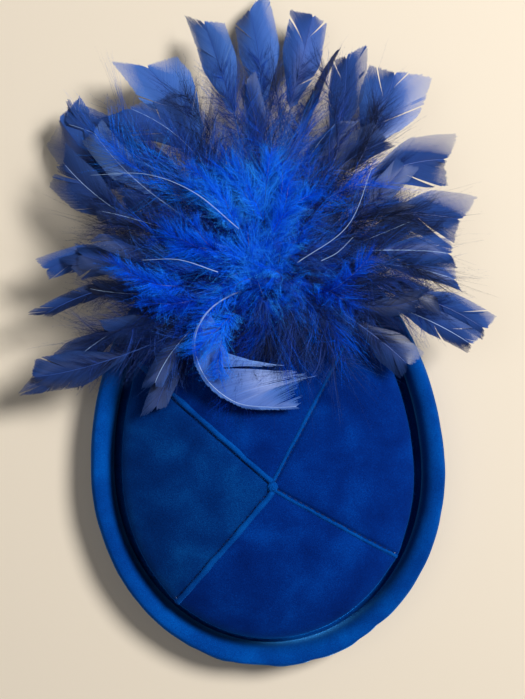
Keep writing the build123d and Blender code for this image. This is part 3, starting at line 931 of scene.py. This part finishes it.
def edge_turn(to_edge):
    """How far the velvet has sunk at a distance from the outline."""
    inset = np.clip(EDGE_ROUND - to_edge, 0, EDGE_ROUND) / EDGE_ROUND
    return EDGE_DROP * (1 - np.sqrt(np.maximum(1 - inset**2, 0)))


def panel_height(x, y, to_seam, to_edge):
    """Dome height with the swell, the sewn dip and the rounded edge."""
    swell = SWELL_HEIGHT * (1 - np.exp(-to_seam / SEAM_SWELL)) * (1 - np.exp(-to_edge / EDGE_SWELL))
    dip = -DIP * np.exp(-((to_seam / DIP_WIDTH) ** 2)) - SLOPE_DIP * np.exp(-((to_seam / SLOPE_WIDTH) ** 2))
    soft = 0.16 * ripple(x, y, 34, 5) * (1 - np.exp(-to_seam / 6))
    return dome_z(x, y) + swell + dip + soft - edge_turn(to_edge)


def velvet_panel(name, first, last, finish_of):
    """One panel, a grid over its sector, with the turned-down edge and its own thickness."""
    columns, rows, top = PANEL_COLUMNS, PANEL_ROWS, []
    spread = np.concatenate([[0], np.linspace(0.02, 0.93, rows - 12), np.linspace(0.94, 1, 11)])
    bunched = 0.5 - 0.5 * np.cos(np.linspace(0, math.pi, columns))  # finer rows beside the seams
    for share in spread:
        for turn in first + (last - first) * bunched:
            angle = math.radians(turn)
            whole = reach_to_edge(angle)
            corner = min(turn - first, last - turn)
            whole = whole + 0.7 * math.exp(-((corner / 5) ** 2))
            r = share * whole
            x, y = CROSSING[0] + r * math.cos(angle), CROSSING[1] + r * math.sin(angle)
            to_seam = r * math.sin(math.radians(min(corner, 90)))
            z = panel_height(x, y, to_seam, whole - r)
            top.append((x, y, float(z)))
    rim = top[-columns:]
    for fall in FOLD_DOWN:
        top.extend((x, y, z - fall) for x, y, z in rim)
    count = len(top)
    total_rows = len(spread) + len(FOLD_DOWN)
    inner = []
    for x, y, z in top:
        pull = 1 - 0.9 * PANEL_THICK / max(math.hypot(x, y), 20)
        inner.append((x * pull, y * pull, z - 0.7 * PANEL_THICK))
    faces = grid_faces(total_rows, columns)
    under = [tuple(reversed(face)) for face in grid_faces(total_rows, columns, first=count)]
    border = list(range(columns)) + [r * columns + columns - 1 for r in range(1, total_rows)]
    border += [(total_rows - 1) * columns + i for i in range(columns - 2, -1, -1)]
    border += [r * columns for r in range(total_rows - 2, 0, -1)]
    sides = [(b, a, a + count, b + count) for a, b in zip(border, border[1:] + border[:1])]
    piece = make_piece("velvet_" + name, top + inner, faces + under + sides, finish_of, name)
    return piece


print("panel grid", PANEL_COLUMNS, "by", PANEL_ROWS)


PANELS = (
    ("crown_panel_front", SEAM_ANGLES[0], SEAM_ANGLES[1], CROWN_VELVET),
    ("crown_panel_left", SEAM_ANGLES[1], SEAM_ANGLES[2], LEFT_VELVET),
    ("crown_panel_rear", SEAM_ANGLES[2], SEAM_ANGLES[3], CROWN_VELVET),
    ("crown_panel_right", SEAM_ANGLES[3] - 360, SEAM_ANGLES[0], CROWN_VELVET),
)
for name, first, last, finish_of in PANELS:
    velvet_panel(name, first, last, finish_of)


# %% [markdown]
# ### Folded seams
#
# The seams are lapped: the front and rear panels are folded over the side panels and stitched
# beside the fold. That leaves a soft rounded ridge about 2.5 mm wide on the front or rear side
# and a sunk stitch line on the other. The two left seams stand up well; the two right seams were
# pressed and stand up half as far. The thread is laid in the groove stitch by stitch.

# %% Seam ridges and their stitches
RIDGE_HALF, RIDGE_HEIGHT = 1.25, 1.0
GROOVE_SHIFT = 1.55  # from the stitch line to the middle of the ridge
STITCH_LENGTH, STITCH_GAP, THREAD_RADIUS = 1.9, 0.9, 0.16
WAVES_PER_UNIT = 20  # the wave texture makes this many bands per unit at scale 1
THREAD, thread_tree, thread_shader = new_material("polyester_sewing_thread", {
    "Base Color": linear("#062050"), "Roughness": 0.6, "IOR": 1.5, "Specular IOR Level": 0.3,
    "Sheen Weight": 0.2, "Sheen Tint": linear("#1450b0")})
twist = add_node(
    thread_tree, "ShaderNodeTexWave", {"wave_type": "BANDS", "bands_direction": "DIAGONAL"},
    {"Scale": 1 / (0.5 * MM) / WAVES_PER_UNIT, "Distortion": 0.5}, {"Vector": object_place(thread_tree)})
paint(thread_tree, thread_shader, twist.outputs["Fac"], ((0.0, "#04143c"), (1.0, "#0a2c6c")))


def seam_line(angle, count, start=0.0):
    """Points along a seam over the dome, from the crossing to just past the edge."""
    a = math.radians(angle)
    whole = reach_to_edge(a) + 0.7
    r = np.linspace(start, whole, count)
    x, y = CROSSING[0] + r * math.cos(a), CROSSING[1] + r * math.sin(a)
    z = dome_z(x, y) - edge_turn(whole - r)
    return np.stack([x, y, z], axis=1)


def ridge_points(line, shift, size, seed):
    """A soft round ridge beside the stitch line; size scales its width and height."""
    along = unit(np.gradient(line, axis=0))
    side = unit(np.cross(along, (0, 0, 1.0)))
    up = np.cross(side, along)
    rng = np.random.default_rng(seed)
    knots = np.linspace(0, 1, 16)
    here = np.linspace(0, 1, len(line))
    wander = np.interp(here, knots, rng.normal(0, 0.10, len(knots)))
    plump = 1 + np.interp(here, knots, rng.normal(0, 0.10, len(knots)))
    ends = np.minimum(1, np.minimum(here, 1 - here) / 0.02 + 0.35)
    points = []
    for k, place in enumerate(line):
        centre = place + side[k] * (shift * size + wander[k])
        for turn in np.radians(np.arange(200, -21, -20)):
            wide = RIDGE_HALF * size * plump[k] * math.cos(turn)
            high = RIDGE_HEIGHT * size * plump[k] * ends[k] * (math.sin(turn) + 0.12)
            points.append(centre + side[k] * wide + up[k] * high)
    return np.array(points)


def stitch_run(line, radius, length, gap, lift):
    """Small thread beads laid end to end along a line; returns points and faces."""
    far = np.concatenate([[0], np.cumsum(np.linalg.norm(np.diff(line, axis=0), axis=1))])
    points, faces = [], []
    s = length
    while s < far[-1] - length / 2:
        ends = [np.array([np.interp(s + d, far, line[:, k]) for k in range(3)])
                for d in (-length / 2, length / 2)]
        middle = (ends[0] + ends[1]) / 2
        along = unit(ends[1] - ends[0])
        side = unit(np.cross(along, (0, 0, 1.0)))
        up = np.cross(side, along)
        base = len(points)
        for share in np.linspace(-1, 1, 7):
            swell = math.sqrt(max(1 - share**2, 0.02)) * radius
            for turn in np.arange(8) * math.tau / 8:
                points.append(middle + along * share * length / 2
                              + side * math.cos(turn) * swell + up * (math.sin(turn) * swell + lift))
        faces += grid_faces(7, 8, close_columns=True, first=base)
        faces.append(tuple(base + i for i in range(7, -1, -1)))
        faces.append(tuple(base + 48 + i for i in range(8)))
        s += length + gap
    return points, faces


SEAM_SIDE = (-1, 1, -1, 1)  # which side of the stitch line the ridge lies on
SEAM_SIZE = (0.62, 1.0, 1.0, 0.62)
for number, angle in enumerate(SEAM_ANGLES, 1):
    line = seam_line(angle, 120, start=1.2)
    size = SEAM_SIZE[number - 1]
    points = ridge_points(line, SEAM_SIDE[number - 1] * GROOVE_SHIFT, size, number)
    columns = len(points) // len(line)
    faces = grid_faces(len(line), columns, close_columns=True)
    faces.append(tuple(range(columns)))
    faces.append(tuple(range(len(points) - 1, len(points) - 1 - columns, -1)))
    ridge = make_piece(f"velvet_ridge_{number}", points, faces, SEAM_VELVET_PAINTED_SHEEN,
                       f"crown_seam_{number}")
    smooth = ridge.modifiers.new("rounding", "SUBSURF")
    smooth.levels = smooth.render_levels = 1
    points, faces = stitch_run(line, THREAD_RADIUS, STITCH_LENGTH, STITCH_GAP, -0.5)
    make_piece(f"seam_stitches_{number}", points, faces, THREAD)
print("seams", len(SEAM_ANGLES))


# %% Pile standing up along the folds
def add_pile(tuft, feet, outward, rng, each, reach):
    """Short velvet fibres round each foot point, leaning outward at random."""
    feet = np.repeat(feet, each, axis=0) + rng.normal(0, 0.35, (len(feet) * each, 3)) * (1, 1, 0.3)
    lean = np.repeat(outward, each, axis=0)
    out = unit(lean + rng.normal(0, 0.55, feet.shape))
    side = unit(np.cross(out, unit(rng.normal(size=feet.shape)))) * 0.06
    tips = feet + out * rng.uniform(*reach, len(feet))[:, None]
    points = np.stack([feet - side, feet + side, tips], axis=1).reshape(-1, 3)
    faces = np.arange(len(feet))[:, None] * 3 + np.array([[0, 1, 2]])
    tuft.add(points, faces, np.tile([0.5, 0.5, 0.5], (len(points), 1)), 0)


rng = np.random.default_rng(8)
pile = Tuft()
for number, angle in enumerate(SEAM_ANGLES):
    line = seam_line(angle, 420, start=1.0)
    shift = SEAM_SIDE[number] * GROOVE_SHIFT * SEAM_SIZE[number]
    side = unit(np.cross(np.gradient(line, axis=0), (0, 0, 1.0)))
    for across in (-0.9, 0.0, 0.9):
        crest = line + side * (shift + across * SEAM_SIZE[number])
        crest[:, 2] += 0.85 * SEAM_SIZE[number] * (1 - 0.5 * abs(across))
        add_pile(pile, crest, side * across + (0, 0, 0.8), rng, 2, (0.25, 0.75))
edge_turns = np.linspace(0, math.tau, 1800)
edge_x, edge_y = egg(edge_turns, -0.3)
edge = np.stack([edge_x, edge_y, np.full(len(edge_turns), EDGE_Z - EDGE_DROP + 0.5)], axis=1)
outward = unit(np.stack([edge_x / HALF_WIDTH**2, edge_y / ((FRONT + REAR) / 2) ** 2,
                         np.zeros(len(edge_turns))], axis=1))
add_pile(pile, edge, outward + (0, 0, 0.5), rng, 3, (0.2, 0.6))
# The standing fibres take the lighter seam velvet: painted sheen along the folds and the crown's edge.
pile.piece("standing_pile", [SEAM_VELVET_PAINTED_SHEEN], "velvet")
print("standing pile fibres", pile.count // 3)


# %% Knot at the crossing
KNOT_RADIUS, KNOT_ROWS = 2.2, 18
knot_z = float(dome_z(*CROSSING)) + 0.2


def knot_point(row, turn):
    """A small wound knot: a bead whose surface is grooved by the thread turns."""
    lat = math.pi * (row + 0.5) / KNOT_ROWS - math.pi / 2
    r = KNOT_RADIUS * (1 + 0.12 * math.sin(4 * turn + 7 * lat))
    flat = r * math.cos(lat)
    return (CROSSING[0] + flat * math.cos(turn), CROSSING[1] + flat * math.sin(turn),
            knot_z + 0.55 * r * math.sin(lat))


turned_piece("crossing_knot", KNOT_ROWS, 28, knot_point, SEAM_VELVET_PAINTED_SHEEN, "seam_knot")
print("knot", 2 * KNOT_RADIUS, "mm across")


# %% [markdown]
# ### Side band
#
# The upright side of the crown is a band of the same velvet, painted much darker: painted shade
# for the shadow of the brim it stands in. It only needs its own soft unevenness and a turned top
# edge under the panels.

# %% Rings that follow the egg
def egg_ring(name, profile, material, node, turns=300, soft=None):
    """Closed ring: profile points are (offset outwards, height) in millimetres."""
    points = []
    angles = np.arange(turns) * math.tau / turns
    for turn in angles:
        for offset, z in profile:
            grow, lift = (0.0, 0.0) if soft is None else soft(turn, offset, z)
            x, y = egg(turn, offset + grow)
            points.append((float(x), float(y), z + lift))
    rows, columns = turns, len(profile)
    faces = []
    for row in range(rows):
        nxt = (row + 1) % rows
        for column in range(columns):
            right = (column + 1) % columns
            faces.append((row * columns + column, nxt * columns + column,
                          nxt * columns + right, row * columns + right))
    return make_piece(name, points, faces, material, node)


def perimeter(offset):
    angles = np.linspace(0, math.tau, 721)
    x, y = egg(angles, offset)
    return float(np.hypot(np.diff(x), np.diff(y)).sum())


BAND_TUCK = BAND_TOP - 1.6  # the band's top edge is tucked under the turned-down panels
band_profile = [(-0.2, BAND_FOOT), (-0.05, 6), (0.1, 14), (0.05, 20), (-0.25, BAND_TUCK - 0.6),
                (-0.8, BAND_TUCK), (-1.05, BAND_TUCK - 1), (-1.0, 14), (-1.05, BAND_FOOT)]
side_band = egg_ring("velvet_side_band", band_profile, SIDE_VELVET_PAINTED_SHADE, "crown_side_band")
print("side band", round(perimeter(0)), "mm round")


# %% [markdown]
# ## The padded brim
#
# The brim is a buckram strip turned up and rolled over foam, with one velvet cover drawn round it
# and sewn down in the gutter beside the crown. Foam under velvet never lies quite even, so the
# roll swells and sinks by a few tenths of a millimetre and shows faint drag lines round the bends.

# %% Brim roll
ROLL_CENTRE, ROLL_HALF, ROLL_MIDDLE_Z, ROLL_HALF_Z = 10.2, 5.0, 10.4, 10.1
GUTTER_Z = 3.2
CREST_SHIFT = 1.5  # the roll leans out, so its crest is outside its middle
ROLL_SQUARE = 2.3  # 2 would be a plain ellipse


def roll_point(angle, skin=0.0):
    """A point of the roll's outline at an angle in degrees, set in by a skin."""
    a = math.radians(angle)
    across, up = math.cos(a), math.sin(a)
    half = (ROLL_HALF + CREST_SHIFT if angle > 90 else ROLL_HALF - CREST_SHIFT) - skin
    x = half * math.copysign(abs(across) ** (2 / ROLL_SQUARE), across)
    z = (ROLL_HALF_Z - skin) * math.copysign(abs(up) ** (2 / ROLL_SQUARE), up)
    return ROLL_CENTRE + CREST_SHIFT + x, ROLL_MIDDLE_Z + z


def brim_profile():
    """Outside of the cover: gutter, inner flank, crest, outer flank and flat underside."""
    points = [(0.35, GUTTER_Z), (2.2, GUTTER_Z + 0.05), (4.0, GUTTER_Z + 0.5)]
    points += [roll_point(angle) for angle in list(range(205, 90, -12)) + list(range(90, -66, -9))]
    points = [p for p in points if p[1] >= 0.6 or p[0] < 3]
    return points + [(12.2, 0.05), (9.0, 0.0), (5.0, 0.0), (1.5, 0.0), (0.35, 0.25)]


def foam_softness(turn, offset, z):
    """Slow swelling of the roll and faint drag lines."""
    upper = min(max(z / BRIM_TOP, 0), 1)
    out = 1.0 if offset > ROLL_CENTRE else -0.6
    slow = 0.20 * math.sin(3 * turn + 0.7) * math.sin(7 * turn + 2.1) + 0.08 * math.sin(17 * turn + z / 6)
    drag = 0.05 * math.sin(41 * turn + 1.3 * math.sin(5 * turn) + z / 3.5)
    return out * upper * (slow + drag), upper**2 * (0.2 * math.sin(5 * turn + 1) + 0.06 * math.sin(23 * turn))


print("roll profile has", len(brim_profile()), "points")


# %% Settling the cover as cloth
def coordinates(mesh):
    flat = np.empty(len(mesh.vertices) * 3, np.float32)
    mesh.vertices.foreach_get("co", flat)
    return flat.reshape(-1, 3)


def settle_cloth(piece, pinned, pressure, slack, cap):
    """Let a padded cover swell against its pinned parts, and keep the settled shape."""
    before = coordinates(piece.data)
    group = piece.vertex_groups.new(name="pinned")
    group.add([int(i) for i in np.flatnonzero(pinned)], 1.0, "REPLACE")
    cloth = piece.modifiers.new("cloth", "CLOTH")
    cloth.settings.quality = 6
    cloth.settings.mass = 0.25
    cloth.settings.tension_stiffness = cloth.settings.compression_stiffness = 25
    cloth.settings.bending_stiffness = 0.8
    cloth.settings.use_pressure = True
    cloth.settings.uniform_pressure_force = pressure
    cloth.settings.shrink_min = -slack
    cloth.settings.vertex_group_mass = "pinned"
    cloth.settings.effector_weights.gravity = 0.0
    for step in range(1, SETTLE_FRAMES + 1):
        bpy.context.scene.frame_set(step)
    settled = piece.evaluated_get(bpy.context.evaluated_depsgraph_get()).to_mesh()
    move = coordinates(settled) - before
    piece.modifiers.remove(cloth)
    piece.vertex_groups.clear()
    bpy.context.scene.frame_set(1)
    size = np.linalg.norm(move, axis=1, keepdims=True)
    move = move * np.minimum(1, cap / np.maximum(size, 1e-9))
    piece.data.vertices.foreach_set("co", (before + move).astype(np.float32).ravel())
    piece.data.update()
    print(piece.name, "settled, moved", round(float(size.mean()) / MM, 2), "mm on average")


SETTLE_FRAMES = 20
COVER_PRESSURE, COVER_SLACK, COVER_CAP = 4.0, 0.012, 0.5 * MM
brim = egg_ring("velvet_brim", brim_profile(), BRIM_VELVET_PAINTED_SHEEN, "brim_velvet", 300, foam_softness)
place = coordinates(brim.data) / MM
held_down = (place[:, 2] < 4.5) & (place[:, 2] > -1)
settle_cloth(brim, held_down, COVER_PRESSURE, COVER_SLACK, COVER_CAP)
soften = brim.modifiers.new("soften", "SUBSURF")
soften.levels = soften.render_levels = 1
print("brim", round(perimeter(BRIM_OUT)), "mm round the outside")


# %% [markdown]
# ## Inside the hat
#
# The inside is finished with a satin lining, and a ribbed petersham ribbon where it meets the
# head. The stiff shell, padding, foam, board and wire are closed in, so they keep their CAD
# shapes and get plain but true finishes.

# %% Woven finishes
def woven(name, dark, light, thread_mm, rough, sheen, ribs=False):
    """Cloth with a thread pattern; ribs makes the raised bars of petersham."""
    material, tree, shader = new_material(name, {
        "Base Color": linear(light), "Roughness": rough, "IOR": 1.5, "Sheen Weight": sheen,
        "Sheen Roughness": 0.4, "Sheen Tint": linear(light)})
    place = object_place(tree)
    scale = 1 / (thread_mm * MM) / WAVES_PER_UNIT
    bands = [
        add_node(tree, "ShaderNodeTexWave", {"wave_type": "BANDS", "bands_direction": direction},
                 {"Scale": scale, "Distortion": 0.4, "Detail": 1.0}, {"Vector": place}).outputs["Fac"]
        for direction in ("X", "Z" if ribs else "Y")
    ]
    cross = add_node(tree, "ShaderNodeMath", {"operation": "MULTIPLY"}, links=dict(enumerate(bands)))
    uneven = add_node(tree, "ShaderNodeTexNoise", values={"Scale": 1 / (6 * MM)}, links={"Vector": place})
    both = mix(tree, "FLOAT", 0.4, {"A": cross.outputs["Value"], "B": uneven.outputs["Fac"]})
    paint(tree, shader, both, ((0.1, dark), (0.7, light)))
    emboss(tree, shader, cross.outputs["Value"], 0.4, 0.15 * MM)
    return material


SATIN = woven("acetate_satin_lining", "#071a52", "#0f2f80", 0.5, 0.38, 0.2)
PETERSHAM = woven("petersham_ribbon", "#06143e", "#0e2a6c", 1.1, 0.6, 0.3, ribs=True)
BUCKRAM = woven("sized_buckram", "#101a3c", "#24346a", 1.2, 0.8, 0.1)
FELT = woven("wool_felt", "#062a80", "#0c3ca0", 0.9, 0.95, 0.6)
WADDING = woven("polyester_wadding", "#c4c6c8", "#f0f0ee", 1.6, 0.95, 0.5)
FOAM = woven("upholstery_foam", "#cfcabc", "#ece6d6", 0.8, 0.9, 0.1)
print("woven and soft finishes", [m.name for m in (SATIN, PETERSHAM, BUCKRAM, FELT, WADDING, FOAM)])


# %% Lining and ribbon
LINING_INSET, LINING_DROP, LINING_THICK, GATHERS = 2.95, 4.75, 0.4, 46
LINING_ROWS, LINING_COLUMNS, FALL_ROWS = 40, 180, 8


def lining_layer(layer, foot):
    """Points of one face of the lining: the gathered dome, then the upright side down to foot."""
    points = []
    turns = math.tau * np.arange(LINING_COLUMNS) / LINING_COLUMNS
    for share in np.linspace(0.03, 1, LINING_ROWS):
        for turn in turns:
            x, y = (float(v) * share for v in egg(turn, -LINING_INSET))
            gather = 0.28 * math.sin(GATHERS * turn) * math.sin(math.pi * share) ** 2
            drop = LINING_DROP + 0.35 * (1 - share**2) + gather
            points.append((x, y, float(dome_z(x, y)) - drop - layer * LINING_THICK))
    for fall in np.linspace(0.12, 1, FALL_ROWS):
        for turn in turns:
            x, y = (float(v) for v in egg(turn, -LINING_INSET - layer * LINING_THICK))
            top = float(dome_z(x, y)) - LINING_DROP
            points.append((x, y, top + (foot - top) * fall))
    return points


def satin_lining():
    """Domed lining with shallow gathers towards the middle, closed by its own thickness."""
    foot = box_mm("crown_lining")[0][2]
    rows, columns = LINING_ROWS + FALL_ROWS, LINING_COLUMNS
    points = lining_layer(0, foot) + lining_layer(1, foot)
    shift = rows * columns
    faces = grid_faces(rows, columns, close_columns=True)
    faces += [tuple(reversed(f)) for f in grid_faces(rows, columns, close_columns=True, first=shift)]
    base = (rows - 1) * columns
    for column in range(columns):
        right = (column + 1) % columns
        faces.append((base + column, base + right, base + right + shift, base + column + shift))
    faces += [tuple(reversed(range(columns))), tuple(range(shift, shift + columns))]
    return make_piece("satin_crown_lining", points, faces, SATIN, "crown_lining")


lining = satin_lining()

ribbon_low, ribbon_high = box_mm("ribbon_sweatband")
RIB_COUNT = 380


def ribbed(turn, offset, z):
    return 0.07 * math.sin(RIB_COUNT * turn) * (1 if offset < -4 else 0), 0.0


ribbon_foot, ribbon_top = ribbon_low[2], ribbon_high[2]
ribbon_profile = [(-3.6, ribbon_foot), (-3.55, ribbon_top - 0.3), (-3.8, ribbon_top),
                  (-4.3, ribbon_top - 0.2), (-4.35, 14), (-4.35, 7), (-4.3, ribbon_foot + 0.3),
                  (-3.9, ribbon_foot)]
ribbon = egg_ring("petersham_sweatband", ribbon_profile, PETERSHAM, "ribbon_sweatband",
                  1140, ribbed)

stitch_turn = np.linspace(0, math.tau, 420)
ribbon_x, ribbon_y = egg(stitch_turn, -4.42)
ribbon_line = np.stack([ribbon_x, ribbon_y, np.full(len(stitch_turn), ribbon_top - 1.6)], axis=1)
points, faces = stitch_run(ribbon_line, 0.2, 2.6, 1.5, 0.0)
make_piece("ribbon_stitches", points, faces, THREAD)
print("ribbon", round(perimeter(-4)), "mm long")


# %% Closed-in parts
def finish(node, material):
    """Give a CAD node whose shape is right its real finish."""
    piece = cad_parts[node]
    piece.data.materials.clear()
    piece.data.materials.append(material)


for node, material in (("crown_shell", BUCKRAM), ("brim_board", BUCKRAM), ("crown_padding", WADDING)):
    finish(node, material)
print("closed-in parts finished")


# %% Foam inside the roll
FOAM_SKIN, FOAM_FOOT = 1.3, 4.6
SLOT_IN, SLOT_OUT, SLOT_TOP = 8.9, 11.5, 14.2  # room for the board and the wire


def foam_profile():
    """The roll's outline, thinner by the cover, with a slot below for the board and the wire."""
    points = []
    for angle in range(200, -40, -12):
        x, z = roll_point(angle, FOAM_SKIN)
        points.append((x, max(z, FOAM_FOOT)))
    return points + [(SLOT_OUT, FOAM_FOOT), (SLOT_OUT, SLOT_TOP), (SLOT_IN, SLOT_TOP), (SLOT_IN, FOAM_FOOT)]


def foam_cells(turn, offset, z):
    return 0.05 * math.sin(61 * turn + z), 0.05 * math.sin(47 * turn + 2 * offset)


egg_ring("foam_roll", foam_profile(), FOAM, "brim_foam", 300, foam_cells)
print("foam slot", round(SLOT_OUT - SLOT_IN, 1), "mm wide")


# %% Felt patch and thread binding
patch_low, patch_high = box_mm("feather_patch")
PATCH_CENTRE = ((patch_low + patch_high) / 2)[:2]
PATCH_RADIUS = (patch_high[0] - patch_low[0]) / 2
PATCH_RINGS = ((0.02, 1.0), (0.3, 1.0), (0.6, 1.0), (0.85, 1.0), (0.96, 0.9), (1.0, 0.5), (0.99, 0.05),
               (0.8, 0.0), (0.4, 0.0), (0.02, 0.0))  # share of the radius and of the thickness


def patch_point(row, turn):
    """Round felt patch with a softly pinked edge, lying on the dome."""
    share, height = PATCH_RINGS[row]
    r = PATCH_RADIUS * share * (1 + 0.012 * math.sin(30 * turn) * (share > 0.8))
    x, y = PATCH_CENTRE[0] + r * math.cos(turn), PATCH_CENTRE[1] + r * math.sin(turn)
    return x, y, float(dome_z(x, y)) + 0.6 + 1.5 * height


BINDING_ROWS, BINDING_COILS = 150, 22
BINDING_FOOT = binding_low[2] + 3.5


def binding_point(row, turn):
    """Thread wound round the quills: a spiral groove on a slightly waisted stem."""
    share = row / (BINDING_ROWS - 1)
    coil = 0.22 * math.cos(math.tau * share * BINDING_COILS - turn)
    r = (BINDING_RADIUS - 0.35) * (1 - 0.12 * math.sin(math.pi * share)) + coil
    return (BURST[0] + r * math.cos(turn), BURST[1] + r * math.sin(turn),
            BINDING_FOOT + (BINDING_TOP - BINDING_FOOT) * share)


turned_piece("felt_patch", len(PATCH_RINGS), 120, patch_point, FELT, "feather_patch")
turned_piece("wound_binding", BINDING_ROWS, 36, binding_point, THREAD, "feather_binding")
print("binding", round(float(BINDING_TOP - BINDING_FOOT), 1), "mm high,", BINDING_COILS, "coils")


# %% [markdown]
# ## Hair clips
#
# Two small sprung clips are sewn inside the ribbon. Their stampings keep the CAD shapes: bright
# nickel plate over steel, with the faint brushed lines that the press and tumbling leave, and
# drawn steel wire for the pin and spring. Metals keep the default IOR.

# %% Metals
def metal(name, dark, light, rough, grain_mm):
    """Metal with a fine drawn grain in its colour and gloss."""
    material, tree, shader = new_material(
        name, {"Base Color": linear(light), "Metallic": 1.0, "Roughness": rough})
    stretch = add_node(tree, "ShaderNodeMapping", values={"Scale": (1.0, 0.15, 1.0)},
                       links={"Vector": object_place(tree)})
    grain = add_node(tree, "ShaderNodeTexNoise", values={"Scale": 1 / (grain_mm * MM), "Detail": 4.0},
                     links={"Vector": stretch.outputs["Vector"]}).outputs["Fac"]
    paint(tree, shader, grain, ((0.3, dark), (0.7, light)))
    spread = add_node(tree, "ShaderNodeMapRange", links={"Value": grain},
                      values={"To Min": rough * 0.75, "To Max": rough * 1.3})
    tree.links.new(spread.outputs["Result"], shader.inputs["Roughness"])
    return material


NICKEL = metal("nickel_plated_steel", "#b8b4aa", "#dcd8ce", 0.26, 0.5)
DRAWN_STEEL = metal("drawn_spring_steel", "#8e9094", "#b4b6ba", 0.36, 0.3)
CLIP_FINISHES = (("fixed_jaw", NICKEL), ("moving_jaw", NICKEL), ("pin", DRAWN_STEEL), ("spring", DRAWN_STEEL))
for side in ("right", "left"):
    for part, material in CLIP_FINISHES:
        finish(f"{side}_clip_{part}", material)
finish("brim_wire", DRAWN_STEEL)
print("metals on the clips and the brim wire")


# %% Clip stitches
def clip_stitches(side):
    """Thread loops that tie the fixed jaw to the ribbon, one bundle at each end."""
    node = f"{side}_clip_stitches"
    low, high = box_mm(node)
    centre = (low + high) / 2
    hand = 1 if side == "right" else -1
    points, faces = [], []
    ends = (low[1] + 0.6, high[1] - 0.6)
    for y in ends:
        lean = (y - centre[1]) / (high[1] - low[1])
        x = centre[0] - hand * lean * (high[0] - low[0]) * 0.55
        for z in np.linspace(low[2] + 0.5, high[2] - 0.5, 5):
            line = np.array([(x + d, y + 0.12 * math.sin(d * 4), z) for d in np.linspace(-1.4, 1.4, 12)])
            more, quads = stitch_run(line, 0.28, 1.2, 0.0, 0.0)
            first = len(points)
            points += more
            faces += [tuple(i + first for i in quad) for quad in quads]
    return make_piece(f"{side}_clip_thread", points, faces, THREAD, node)


for side in ("right", "left"):
    print(clip_stitches(side).name, "made")


# %% [markdown]
# ## Table
#
# A plain pale surface, large enough to fill every view. It is only a stage for the hat.

# %% Floor
PLASTER = new_material("pale_table", {"Base Color": linear("#dcd0bd"), "Roughness": 0.8})[0]
floor_mesh = bpy.data.meshes.new("floor")
floor_mesh.from_pydata([(-4, -4, 0), (4, -4, 0), (4, 4, 0), (-4, 4, 0)], [], [(0, 1, 2, 3)])
floor_mesh.materials.append(PLASTER)
floor = bpy.data.objects.new("floor", floor_mesh)
bpy.context.collection.objects.link(floor)
print("table 8 m square")
